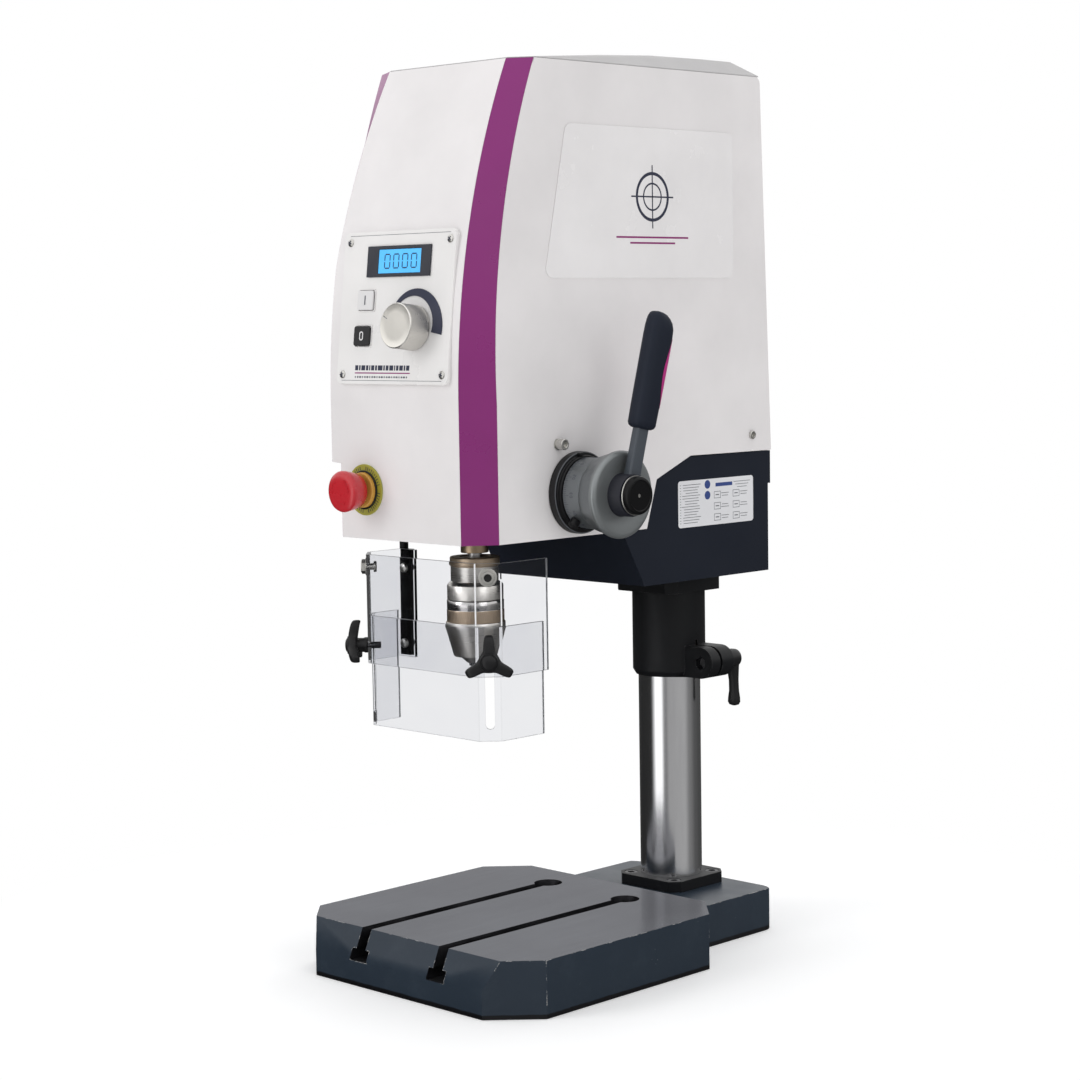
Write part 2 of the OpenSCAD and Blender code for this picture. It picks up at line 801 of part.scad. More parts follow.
module rack_cutter() {
    depth = rack_module * 2.25;
    tip_w = tooth_pitch / 2 + 2 * rack_module * tan(20) + 0.5;
    root_w = tooth_pitch / 2 - 2.5 * rack_module * tan(20) + 0.5;
    tip_y = rack_pitch_depth + rack_module;
    translate([-30, tip_y, rack_z0]) cube([60, 10, (rack_grooves - 1) * tooth_pitch]);
    for (i = [-3:rack_grooves - 4]) {
        translate([0, 0, feed_z + i * tooth_pitch]) extrude_x([[tip_y + 0.1, -tip_w / 2],
            [tip_y + 0.1, tip_w / 2], [tip_y - depth, root_w / 2], [tip_y - depth, -root_w / 2]], -20, 20);
    }
}

module quill() {
    color(steel) translate([0, quill_y, 0]) difference() {
        translate([0, 0, quill_bottom]) cylinder(r = quill_r, h = quill_top - quill_bottom);
        translate([0, 0, quill_bottom - 1]) cylinder(r = bearing_r - 4.5, h = 200);
        translate([0, 0, quill_bottom - 1]) cylinder(r = bearing_r, h = bearing_h + 1);
        translate([0, 0, quill_top - bearing_h]) cylinder(r = bearing_r, h = bearing_h + 1);
        rack_cutter();
    }
}

module quill_bearings() {
    color([0.8, 0.8, 0.82]) translate([0, quill_y, 0]) for (z = [quill_bottom, quill_top - bearing_h]) {
        translate([0, 0, z + 0.3]) difference() {
            cylinder(r = bearing_r, h = bearing_h - 0.6);
            translate([0, 0, -1]) cylinder(r = spindle_r + run_gap, h = 20);
        }
    }
}

module spindle() {
    color(steel) translate([0, quill_y, 0]) {
        translate([0, 0, 383.5]) cylinder(r = spindle_r, h = pulley_z + pulley_h + quill_stroke + 10 - 383.5);
        translate([0, 0, 383.5]) cylinder(r = 12.5, h = 8);
        translate([0, 0, 350]) cylinder(r = 6.5, h = 34);
    }
}

module jaw_axis(i) {
    rotate([0, 0, 120 * i + 60]) translate([jaw_tip_r, 0, jaw_tip_z]) rotate([0, jaw_angle, 0]) children();
}

module chuck_body() {
    core = [[0, 358.2], [21, 358.2], [24.5, 355], [24.5, sleeve_z1 + 0.5], [chuck_core_r, sleeve_z1 + 0.5],
        [chuck_core_r, sleeve_z0 + 4], [12, sleeve_z0 - 0.5], [8, 286], [0, 286]];
    color([0.6, 0.58, 0.55]) translate([0, quill_y, 0]) difference() {
        union() {
            rotate_extrude() polygon(core);
            translate([0, 0, 358]) cylinder(r = 21, h = 16);
            translate([0, 0, 373.6]) cylinder(r = 22, h = 6.4);
        }
        translate([0, 0, 350]) cylinder(r = 6.5, h = 40);
        for (i = [0:2]) jaw_axis(i) translate([0, 0, -10]) cylinder(r = jaw_r + run_gap, h = 62);
        translate([0, -30, 348.5]) along_y(0, 12, 2);
    }
}

module chuck_sleeve() {
    outline = [[19.2, sleeve_z0], [26, 317], [26, 322], [25, 322], [25, 333], [24.5, 333],
        [24.5, sleeve_z1], [chuck_core_r + run_gap, sleeve_z1], [chuck_core_r + run_gap, sleeve_z0 + 3.9],
        [chuck_core_r - 1.4, sleeve_z0]];
    color([0.55, 0.54, 0.53]) translate([0, quill_y, 0]) rotate_extrude() polygon(outline);
}

module jaw(i) {
    color([0.4, 0.4, 0.42]) translate([0, quill_y, 0]) jaw_axis(i) cylinder(r = jaw_r, h = jaw_len);
}

module jaw_1() {
    jaw(0);
}

module jaw_2() {
    jaw(1);
}

module jaw_3() {
    jaw(2);
}

// ---------- Feed ----------

module on_feed() {
    translate([0, feed_y, feed_z]) children();
}

// One pinion tooth is six points; the first tooth points at the rack (-Y)
tooth_points = [[root_r, -7.2], [pitch_r, -4.1], [tip_r, -2], [tip_r, 2], [pitch_r, 4.1], [root_r, 7.2]];
function tooth(i) = [for (p = tooth_points)
    let(a = 180 + 360 / pinion_teeth * i + p[1]) p[0] * [cos(a), sin(a)]];

module feed_shaft() {
    outline = [for (i = [0:pinion_teeth - 1]) each tooth(i)];
    color(steel) on_feed() {
        extrude_x(outline, -7.5, 9);
        along_x(8.9, 15, 9);
        along_x(14.5, inner_half, journal_r);
        along_x(inner_half - 0.1, hub_x1 + 12, outer_shaft_r);
        along_x(-cover_half - 10, -7.4, stub_r);
    }
}

module stop_flange() {
    color(black) on_feed() difference() {
        union() {
            along_x(cover_half, cover_half + 8, 36);
            along_x(cover_half + 7.9, drum_x0 - soft_gap, 32.5);
            along_x(inner_half + 0.2, cover_half + 0.1, tunnel_r);
        }
        along_x(inner_half - 2, drum_x0 + 2, outer_shaft_r + run_gap);
    }
}

// The clamp knob of the depth ring stands radially on it, down and to the front
module depth_knob_axis() {
    rotate([226, 0, 0]) translate([drum_x0 + 7, 0, 0]) rotate([-90, 0, 0]) children();
}

module depth_ring() {
    color([0.45, 0.47, 0.48]) on_feed() difference() {
        along_x(drum_x0, drum_x1 - soft_gap, drum_r);
        along_x(drum_x0 - 1, drum_x1 + 1, drum_bore_r + run_gap);
        depth_knob_axis() cylinder(r = 2.5 + run_gap, h = 60);
    }
}

module depth_knob() {
    color(black) on_feed() depth_knob_axis() {
        translate([0, 0, drum_bore_r + 1]) cylinder(r = 2.5, h = 12);
        translate([0, 0, drum_r + soft_gap]) cylinder(r = 4.5, h = 6);
    }
}

module feed_hub() {
    profile = [[outer_shaft_r, drum_x0 + 0.2], [drum_bore_r, drum_x0 + 0.2], [drum_bore_r, drum_x1],
        [drum_r + 1, drum_x1], [drum_r + 2.5, drum_x1 + 2], [hub_r - 2, hub_x1 - 9], [hub_r, hub_x1 - 5],
        [hub_r, hub_x1 - 2], [hub_r - 2, hub_x1], [boss_r, hub_x1], [boss_r, hub_x1 + 12],
        [outer_shaft_r, hub_x1 + 12]];
    color([0.43, 0.45, 0.47]) on_feed() difference() {
        rotate([0, 90, 0]) rotate_extrude() polygon(profile);
        lever_local() translate([-4.5, -7.5, 9]) cube([9, 15, 60]);
    }
}

module hub_cap() {
    color(black) on_feed() {
        along_x(hub_x1 + 14.1, cap_x1, 16.5);
        along_x(hub_x1 + 12.1, hub_x1 + 14.2, 15);
    }
}

module lever_local() {
    translate([lever_x, 0, 0]) rotate([-lever_lean, 0, 0]) rotate([0, lever_out, 0]) children();
}

module feed_arm() {
    color([0.22, 0.24, 0.27]) on_feed() lever_local() translate([-4, -7, 11]) cube([8, 14, 85]);
}

module grip_solid() {
    hull() {
        translate([0, 0, 58]) linear_extrude(1) rounded_rect(15, 21, 7, $fn = 32);
        translate([0, 0, 62]) linear_extrude(1) rounded_rect(20, 26.4, 8, $fn = 32);
        translate([0, 0, 140]) linear_extrude(1) rounded_rect(20, 27, 8, $fn = 32);
        translate([0, -3, 152]) rotate([8, 0, 0]) linear_extrude(1) rounded_rect(16, 20, 7, $fn = 32);
        translate([0, -6.5, 157]) linear_extrude(1) rounded_rect(10, 8, 3.5, $fn = 32);
    }
}

module feed_grip() {
    color([0.09, 0.11, 0.15]) on_feed() lever_local() difference() {
        grip_solid();
        translate([-4, -7, 57]) cube([8, 14, 39]);
        translate([-2.5, 9.5, 74]) cube([5, 10, 62]);
    }
}

module grip_insert() {
    color([0.75, 0.1, 0.45]) on_feed() lever_local() translate([-2.5, 9.5, 74]) cube([5, 3.7, 62]);
}

module spring_housing() {
    color(black) on_feed() difference() {
        union() {
            along_x(-cover_half - 16, -cover_half, 30);
            along_x(-cover_half - 0.1, -inner_half - 0.2, tunnel_r);
        }
        along_x(-cover_half - 13, -cover_half - 3, 27);
        along_x(-cover_half - 12, -inner_half + 3, stub_r + run_gap);
    }
}

module return_spring() {
    steps = 60;
    turns = 2.5;
    r0 = stub_r + 1;
    r1 = 26;
    t = 0.8;
    function turn(i) = 360 * turns * i / steps;
    function at(i, d) = (r0 + (r1 - r0) * i / steps + d) * [cos(turn(i)), sin(turn(i))];
    color([0.4, 0.42, 0.45]) on_feed() translate([-cover_half - 12, 0, 0]) rotate([90, 0, 90])
        linear_extrude(8) polygon(concat([for (i = [0:steps]) at(i, 0)], [for (i = [steps:-1:0]) at(i, t)]));
}

// ---------- Guard ----------

// Plan of the guard's bent sheet: outer face at the given half width and front, both ends open
module guard_plan(half, front, left_end, right_end, cut) {
    w = guard_wall;
    k = w * tan(22.5);
    polygon([[-half, left_end], [-half, front + cut], [-half + cut, front], [half - cut, front],
        [half, front + cut], [half, right_end], [half - w, right_end], [half - w, front + cut + k],
        [half - cut - k, front + w], [-half + cut + k, front + w], [-half + w, front + cut + k],
        [-half + w, left_end]]);
}

// Places children on a corner bevel at height z, with local +Z pointing outwards
module on_bevel(s, z) {
    translate([s * (guard_half - guard_cut / 2), guard_front + guard_cut / 2, z])
        rotate([0, 0, s * 45]) rotate([90, 0, 0]) children();
}

module guard_shield() {
    color([0.85, 0.9, 0.95, 0.35]) difference() {
        union() {
            translate([0, 0, guard_z0]) linear_extrude(guard_z1 - guard_z0)
                guard_plan(guard_half, guard_front, guard_left_end, guard_right_end, guard_cut);
            translate([-guard_half, guard_left_end - guard_wall, guard_z0])
                cube([22, guard_wall, guard_z1 - guard_z0]);
        }
        for (s = [-1, 1], z = [knob_z, nut_z]) on_bevel(s, z) {
            translate([0, 0, -10]) cylinder(r = 3 + run_gap, h = 20);
        }
        for (z = bar_screw_z) translate([bar_screw_x, guard_left_end - 10, z]) along_y(0, 20, 2.5);
    }
}

module lower_guard() {
    inset = guard_wall + soft_gap;
    color([0.85, 0.9, 0.95, 0.35]) difference() {
        translate([0, 0, lower_z0]) linear_extrude(lower_z1 - lower_z0)
            guard_plan(guard_half - inset, guard_front + inset, guard_left_end - guard_wall - 6,
                guard_right_end - 3, guard_cut - 0.586 * inset);
        for (s = [-1, 1]) on_bevel(s, 0) {
            translate([-slot_w / 2, slot_z0 + slot_w / 2, -20]) cube([slot_w, 120, 40]);
            translate([0, slot_z0 + slot_w / 2, -20]) cylinder(r = slot_w / 2, h = 40);
        }
    }
}

// Fixed guide screws that the lower guard's slots run on, and the screws of the hinge bar
module guard_screws() {
    inset = 2 * guard_wall + 2 * soft_gap;
    color(steel) {
        for (s = [-1, 1]) on_bevel(s, nut_z) {
            translate([0, 0, -inset - 1]) cylinder(r = 3, h = inset + 1.1);
            cylinder(r = 5.6, h = 4, $fn = 6);
            translate([0, 0, -inset - 2.5]) cylinder(r = 5, h = 2.4);
        }
        for (z = bar_screw_z) translate([bar_screw_x, guard_left_end, z]) {
            along_y(-guard_wall - 2, 5, 2.5);
            along_y(-guard_wall - 3, -guard_wall, 4.5);
        }
    }
}

module guard_rod() {
    bar_y = guard_left_end + 0.2;
    color(black) difference() {
        union() {
            translate([rod_x, rod_y, rod_bottom]) cylinder(r = rod_r, h = rod_top - rod_bottom);
            translate([rod_x, bar_y, rod_bottom]) cube([bar_w, 4, guard_z1 - rod_bottom]);
        }
        for (z = bar_screw_z) translate([bar_screw_x, bar_y - 2, z]) along_y(0, 20, 2.5);
    }
}

module star_knob(s) {
    inset = 2 * guard_wall + 2 * soft_gap;
    color(black) on_bevel(s, knob_z) {
        translate([0, 0, -inset - 6]) cylinder(r = 3, h = inset + 8);
        translate([0, 0, 0.4]) cylinder(r = 7, h = 13);
        translate([0, 0, 9]) linear_extrude(8) {
            circle(9);
            for (a = [90, 210, 330]) rotate(a) {
                translate([0, -4]) square([18, 8]);
                translate([18, 0]) circle(4);
            }
        }
    }
}

module guard_knob_left() {
    star_knob(-1);
}

module guard_knob_right() {
    star_knob(1);
}

base_casting();
column_tube();
foot_flange();
foot_bolts();
guide_bush();
head_casting();
column_sleeve();
sleeve_bolts();
front_cover();
left_cover();
right_cover();
rear_cover();
top_lid();
left_trim();
right_trim();
badge_plate();
control_panel();
cover_screws();
display_bezel();
speed_scale();
estop_collar();
stop_flange();
motor();
drive_belt();
control_board();
cable_gland();
guard_switch();
spring_housing();
return_spring();
quill();
quill_bearings();
spindle();
chuck_body();
chuck_sleeve();
jaw_1();
jaw_2();
jaw_3();
spindle_pulley();
motor_pulley();
feed_shaft();
feed_hub();
feed_arm();
feed_grip();
grip_insert();
hub_cap();
depth_ring();
depth_knob();
clamp_screw();
clamp_lever();
guard_rod();
guard_shield();
guard_screws();
lower_guard();
guard_knob_left();
guard_knob_right();
start_button();
stop_button();
speed_knob();
estop_stem();
estop_head();
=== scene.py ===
"""Looks of the bench drill press: materials, rounded and detailed pieces, studio and camera."""
import json
import math

import bmesh
import bpy
from mathutils import Matrix, Vector

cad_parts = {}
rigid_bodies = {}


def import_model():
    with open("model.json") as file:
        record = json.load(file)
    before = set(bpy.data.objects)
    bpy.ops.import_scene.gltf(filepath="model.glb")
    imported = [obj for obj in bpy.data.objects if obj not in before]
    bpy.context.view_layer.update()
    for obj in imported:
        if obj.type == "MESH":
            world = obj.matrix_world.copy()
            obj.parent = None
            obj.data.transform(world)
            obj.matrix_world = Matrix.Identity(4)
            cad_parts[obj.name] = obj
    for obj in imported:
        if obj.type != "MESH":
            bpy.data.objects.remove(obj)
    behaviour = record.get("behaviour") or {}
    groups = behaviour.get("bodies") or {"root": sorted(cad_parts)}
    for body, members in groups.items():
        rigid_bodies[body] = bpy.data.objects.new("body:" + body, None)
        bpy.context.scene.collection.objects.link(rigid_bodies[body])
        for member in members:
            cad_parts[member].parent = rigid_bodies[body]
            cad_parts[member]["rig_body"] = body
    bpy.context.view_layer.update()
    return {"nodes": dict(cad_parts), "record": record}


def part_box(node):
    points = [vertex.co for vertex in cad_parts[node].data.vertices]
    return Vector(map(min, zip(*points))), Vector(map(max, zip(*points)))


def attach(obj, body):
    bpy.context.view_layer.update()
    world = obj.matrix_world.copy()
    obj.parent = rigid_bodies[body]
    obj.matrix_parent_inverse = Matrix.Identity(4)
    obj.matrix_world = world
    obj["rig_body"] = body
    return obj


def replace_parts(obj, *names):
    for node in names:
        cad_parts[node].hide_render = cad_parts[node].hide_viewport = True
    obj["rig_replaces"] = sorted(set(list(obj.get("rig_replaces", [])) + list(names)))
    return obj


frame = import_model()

MM = 0.001
NODES = frame["nodes"]
SLOTS = {part["node"]: part["material_slot"] for part in frame["record"]["subparts"]}
ROOM_LEVEL = 0.45
FLOOR_LIFT = 0.25

# ---------------------------------------------------------------- camera and studio


def set_camera():
    """The photograph's view: a long lens from the front right, a little below the head's top."""
    right = Vector((0.7133, 0.7007, -0.0156)).normalized()
    back = -Vector((-0.6988, 0.7093, -0.0927)).normalized()
    up = back.cross(right).normalized()
    right = up.cross(back).normalized()
    data = bpy.data.cameras.new("Camera")
    data.lens = 81.5
    data.sensor_width = 36.0
    data.clip_start = 0.05
    data.clip_end = 100
    camera = bpy.data.objects.new("Camera", data)
    bpy.context.scene.collection.objects.link(camera)
    turn = Matrix((right, up, back)).transposed().to_4x4()
    camera.matrix_world = Matrix.Translation((1.5673, -1.6074, 0.5959)) @ turn
    bpy.context.scene.camera = camera


def area_light(name, place, target, size, power):
    data = bpy.data.lights.new(name, "AREA")
    data.shape = "RECTANGLE"
    data.size, data.size_y = size
    data.energy = power
    light = bpy.data.objects.new(name, data)
    bpy.context.scene.collection.objects.link(light)
    light.location = place
    light.rotation_euler = (Vector(target) - Vector(place)).to_track_quat("-Z", "Y").to_euler()
    light.visible_glossy = False


def ramp(tree, value, stops):
    made = tree.nodes.new("ShaderNodeValToRGB")
    made.color_ramp.interpolation = "EASE"
    points = made.color_ramp.elements
    while len(points) < len(stops):
        points.new(0.5)
    for point, (place, level) in zip(points, stops):
        point.position = place
        point.color = (level, level, level, 1)
    tree.links.new(value, made.inputs[0])
    return made.outputs["Color"]


def math_node(tree, operation, a, b):
    made = tree.nodes.new("ShaderNodeMath")
    made.operation = operation
    for value, socket in ((a, made.inputs[0]), (b, made.inputs[1])):
        if isinstance(value, bpy.types.NodeSocket):
            tree.links.new(value, socket)
        else:
            socket.default_value = value
    return made.outputs[0]


def set_studio():
    """White paper room for the eye, even light for matt surfaces, and softboxes between dark flags
    for polished ones."""
    scene = bpy.context.scene
    scene.view_settings.view_transform = "Standard"
    world = bpy.data.worlds.new("Studio")
    world.use_nodes = True
    tree = world.node_tree
    link = tree.links.new
    coordinates = tree.nodes.new("ShaderNodeTexCoord")
    split = tree.nodes.new("ShaderNodeSeparateXYZ")
    link(coordinates.outputs["Generated"], split.inputs[0])
    around = math_node(tree, "ARCTAN2", split.outputs["Y"], split.outputs["X"])
    turn = math_node(tree, "MULTIPLY_ADD", around, 1 / (2 * math.pi))
    turn.node.inputs[2].default_value = 0.5
    # Positions are (azimuth + 180) / 360, from the left round by the front and the right to the rear
    band = ramp(tree, turn, [(0.0, 0.03), (0.165, 0.03), (0.195, 0.8), (0.212, 1.9), (0.282, 1.9),
                             (0.30, 0.42), (0.325, 0.26), (0.35, 0.50), (0.52, 0.54), (0.58, 0.28),
                             (0.66, 0.13), (0.74, 0.09), (0.87, 0.08), (0.93, 0.05), (1.0, 0.03)])
    rise = ramp(tree, split.outputs["Z"], [(0.0, 0.0), (0.03, 0.03), (0.10, 0.16), (0.20, 0.85), (0.45, 0.9),
                                           (0.75, 1.0)])
    height = math_node(tree, "MULTIPLY_ADD", split.outputs["Z"], 0.5)
    height.node.inputs[2].default_value = 0.5
    low = ramp(tree, height, [(0.0, 0.45), (0.40, 0.85), (0.5, 1.0)])
    shaped = tree.nodes.new("ShaderNodeMix")
    shaped.data_type = "RGBA"
    link(rise, shaped.inputs["Factor"])
    link(band, shaped.inputs["A"])
    shaped.inputs["B"].default_value = (1.25, 1.25, 1.25, 1)
    mirrored = tree.nodes.new("ShaderNodeBackground")
    link(shaped.outputs["Result"], mirrored.inputs["Color"])
    link(low, mirrored.inputs["Strength"])
    room = tree.nodes["Background"]
    room.inputs["Color"].default_value = (0.97, 0.98, 1.0, 1)
    room.inputs["Strength"].default_value = ROOM_LEVEL
    seen = tree.nodes.new("ShaderNodeBackground")
    seen.inputs["Color"].default_value = (1, 1, 1, 1)
    path = tree.nodes.new("ShaderNodeLightPath")
    matt = math_node(tree, "GREATER_THAN", path.outputs["Diffuse Depth"], 0.5)
    mirror = math_node(tree, "GREATER_THAN", path.outputs["Glossy Depth"], 0.5)
    straight = math_node(tree, "SUBTRACT", 1.0, math_node(tree, "MAXIMUM", matt, mirror))
    inner, outer = tree.nodes.new("ShaderNodeMixShader"), tree.nodes.new("ShaderNodeMixShader")
    link(math_node(tree, "SUBTRACT", mirror, matt), inner.inputs[0])
    link(room.outputs[0], inner.inputs[1])
    link(mirrored.outputs[0], inner.inputs[2])
    link(straight, outer.inputs[0])
    link(inner.outputs[0], outer.inputs[1])
    link(seen.outputs[0], outer.inputs[2])
    link(outer.outputs[0], tree.nodes["World Output"].inputs["Surface"])
    scene.world = world
    area_light("Front_left", (-1.4, -2.8, 1.7), (0, -0.05, 0.45), (1.5, 2.2), 34)
    area_light("Right", (3.0, -0.6, 1.5), (0, 0, 0.5), (1.6, 2.2), 15)
    area_light("Top", (0.0, 0.2, 3.2), (0, 0, 0.3), (2.4, 2.4), 30)
    area_light("Back", (-0.8, 3.0, 1.8), (0, 0, 0.5), (2.0, 1.6), 16)
    # Floor: paper under the object, which fades into the white room round it
    rings, steps = (0, 250, 500, 800, 1200, 2000, 5000, 40000), 96
    bm = bmesh.new()
    revolve(bm, [(r, -0.4) for r in rings], Matrix.Identity(4), steps)
    mesh = bpy.data.meshes.new("Floor")
    bm.to_mesh(mesh)
    bm.free()
    floor = bpy.data.objects.new("Floor", mesh)
    scene.collection.objects.link(floor)
    paper = Graph("Floor_paper", (0.92, 0.92, 0.92), 0.9)
    far = paper.node("ShaderNodeVectorMath", operation="LENGTH")
    paper.join(paper.place, far.inputs[0])
    glow = paper.node("ShaderNodeEmission")
    fade = paper.node("ShaderNodeMixShader")
    paper.join(paper.remap(far.outputs["Value"], 0.28, 0.62, 0.0, 1.0), fade.inputs[0])
    paper.join(paper.shader.outputs[0], fade.inputs[1])
    paper.join(glow.outputs[0], fade.inputs[2])
    glow.inputs["Strength"].default_value = 1.0
    paper.shader.inputs["Emission Color"].default_value = (1, 1, 1, 1)
    paper.shader.inputs["Emission Strength"].default_value = FLOOR_LIFT
    paper.join(fade.outputs[0], paper.tree.nodes["Material Output"].inputs["Surface"])
    paper.bump(paper.noise(400, 3), 0.05, 0.0001)
    floor.data.materials.append(paper.material)
    floor.visible_glossy = False
    floor.visible_transmission = False


# ---------------------------------------------------------------- materials


class Graph:
    """One material's nodes: a Principled shader, and short calls that add to it."""

    def __init__(self, name, color, rough, metallic=0.0, **extra):
        self.material = bpy.data.materials.new(name)
        self.material.use_nodes = True
        self.tree = self.material.node_tree
        self.shader = self.tree.nodes["Principled BSDF"]
        self.place = self.node("ShaderNodeTexCoord").outputs["Object"]
        self.shader.inputs["Base Color"].default_value = (*color, 1)
        self.shader.inputs["Roughness"].default_value = rough
        self.shader.inputs["Metallic"].default_value = metallic
        for socket, value in extra.items():
            self.shader.inputs[socket.replace("_", " ")].default_value = value

    def node(self, kind, **values):
        made = self.tree.nodes.new(kind)
        for key, value in values.items():
            setattr(made, key, value)
        return made

    def join(self, value, socket):
        if isinstance(value, bpy.types.NodeSocket):
            self.tree.links.new(value, socket)
        else:
            socket.default_value = value

    def stretched(self, factors):
        """Coordinates scaled along each axis, so that a noise turns into streaks."""
        mapping = self.node("ShaderNodeMapping")
        self.join(self.place, mapping.inputs["Vector"])
        mapping.inputs["Scale"].default_value = factors
        return mapping.outputs["Vector"]

    def noise(self, scale, detail=4, factors=None, rough=0.55):
        made = self.node("ShaderNodeTexNoise")
        self.join(self.stretched(factors) if factors else self.place, made.inputs["Vector"])
        made.inputs["Scale"].default_value = scale
        made.inputs["Detail"].default_value = detail
        made.inputs["Roughness"].default_value = rough
        return made.outputs["Fac"]

    def cells(self, scale):
        made = self.node("ShaderNodeTexVoronoi")
        self.join(self.place, made.inputs["Vector"])
        made.inputs["Scale"].default_value = scale
        return made.outputs["Distance"]

    def remap(self, value, low, high, to_low, to_high):
        made = self.node("ShaderNodeMapRange")
        self.join(value, made.inputs["Value"])
        for name, number in (("From Min", low), ("From Max", high), ("To Min", to_low), ("To Max", to_high)):
            made.inputs[name].default_value = number
        return made.outputs["Result"]

    def sum(self, operation, a, b=0.0):
        made = self.node("ShaderNodeMath", operation=operation)
        self.join(a, made.inputs[0])
        self.join(b, made.inputs[1])
        return made.outputs[0]

    def mix(self, factor, a, b):
        made = self.node("ShaderNodeMix", data_type="RGBA")
        self.join(factor, made.inputs["Factor"])
        for value, socket in ((a, made.inputs["A"]), (b, made.inputs["B"])):
            self.join((*value, 1) if isinstance(value, tuple) and len(value) == 3 else value, socket)
        return made.outputs["Result"]

    def paint(self, value):
        self.join(value, self.shader.inputs["Base Color"])

    def roughen(self, value):
        self.join(value, self.shader.inputs["Roughness"])

    def bump(self, height, strength, distance):
        made = self.node("ShaderNodeBump")
        made.inputs["Strength"].default_value = strength
        made.inputs["Distance"].default_value = distance
        self.join(height, made.inputs["Height"])
        self.join(made.outputs["Normal"], self.shader.inputs["Normal"])

    def edges(self, radius):
        """1 on sharp edges and 0 on flat faces, from how far a bevel would turn the normal."""
        bevel = self.node("ShaderNodeBevel", samples=4)
        bevel.inputs["Radius"].default_value = radius
        geometry = self.node("ShaderNodeNewGeometry")
        dot = self.node("ShaderNodeVectorMath", operation="DOT_PRODUCT")
        self.join(bevel.outputs["Normal"], dot.inputs[0])
        self.join(geometry.outputs["Normal"], dot.inputs[1])
        return self.remap(dot.outputs["Value"], 0.995, 0.9, 0.0, 1.0)


def shade(color, factor):
    return tuple(min(1.0, c * factor) for c in color)


def coated(name, color, rough, grain, depth, wear=None, wear_amount=0.6, **extra):
    """A painted or moulded surface: faint tone changes, orange peel, and worn edges if asked."""
    g = Graph(name, color, rough, **extra)
    tone = g.remap(g.noise(9, 5), 0.3, 0.7, 0.0, 1.0)
    body = g.mix(tone, shade(color, 0.94), shade(color, 1.05))
    if wear is not None:
        worn = g.sum("MULTIPLY", g.edges(0.0006), g.remap(g.noise(130, 6), 0.5, 0.62, 0.0, wear_amount))
        body = g.mix(worn, body, wear)
    g.paint(body)
    g.roughen(g.remap(g.noise(22, 6), 0.3, 0.7, rough * 0.85, rough * 1.2))
    g.bump(g.noise(grain, 2), 0.25, depth)
    return g


def metal(name, color, rough, streak, scale, depth, **extra):
    """Bare metal: fine tool marks along the long axis of streak, smudged roughness."""
    g = Graph(name, color, rough, metallic=1.0, **extra)
    lines = g.noise(scale, 3, streak)
    g.paint(g.mix(g.remap(g.noise(14, 5), 0.3, 0.7, 0.0, 1.0), shade(color, 0.9), shade(color, 1.04)))
    smudge = g.remap(g.noise(30, 5), 0.35, 0.7, 0.0, 0.1)
    g.roughen(g.sum("ADD", g.remap(lines, 0.3, 0.7, rough * 0.8, rough * 1.25), smudge))
    g.bump(lines, 0.35, depth)
    return g


def base_paint():
    """Painted casting: brush-smooth slate enamel with chipped edges, dust and a few light specks, and a
    near-black band along the lower edge that is painted contact shadow.
    """
    color = (0.019, 0.029, 0.043)
    g = coated("Base_paint", color, 0.32, grain=420, depth=0.00012, Specular_IOR_Level=0.3)
    body = g.shader.inputs["Base Color"].links[0].from_socket
    chips = g.sum("MULTIPLY", g.edges(0.0011), g.remap(g.noise(95, 8, rough=0.7), 0.52, 0.57, 0.0, 0.95))
    specks = g.sum("MULTIPLY", g.remap(g.cells(240), 0.10, 0.04, 0.0, 0.5),
                   g.remap(g.noise(21, 3), 0.60, 0.66, 0, 1))
    dust = g.remap(g.noise(34, 9, rough=0.75), 0.5, 0.8, 0.0, 0.22)
    body = g.mix(dust, body, (0.055, 0.07, 0.09))
    body = g.mix(specks, body, (0.5, 0.5, 0.5))
    body = g.mix(chips, body, (0.62, 0.61, 0.59))
    # Painted contact shadow: the lowest 4 mm of the base turn near-black, with an uneven top edge
    split = g.node("ShaderNodeSeparateXYZ")
    g.join(g.place, split.inputs[0])
    shadow_band_z = g.sum("ADD", split.outputs["Z"], g.remap(g.noise(60, 3), 0.3, 0.7, -0.0003, 0.0003))
    g.paint(g.mix(g.remap(shadow_band_z, 0.0036, 0.0044, 1.0, 0.0), body, (0.003, 0.003, 0.004)))
    return g.material


def column_steel():
    """Ground and polished tube: rings too fine to see one by one, and faint long smears."""
    g = Graph("Polished_steel", (0.66, 0.66, 0.67), 0.14, metallic=1.0)
    rings = g.noise(260, 3, (1, 1, 26))
    smears = g.remap(g.noise(22, 7, (1, 1, 0.12)), 0.45, 0.75, 0.0, 1.0)
    g.paint(g.mix(smears, (0.70, 0.70, 0.71), (0.52, 0.52, 0.54)))
    g.roughen(g.sum("ADD", g.remap(rings, 0.3, 0.7, 0.13, 0.20), g.remap(smears, 0, 1, 0.0, 0.10)))
    g.bump(rings, 0.25, 0.000006)
    return g.material


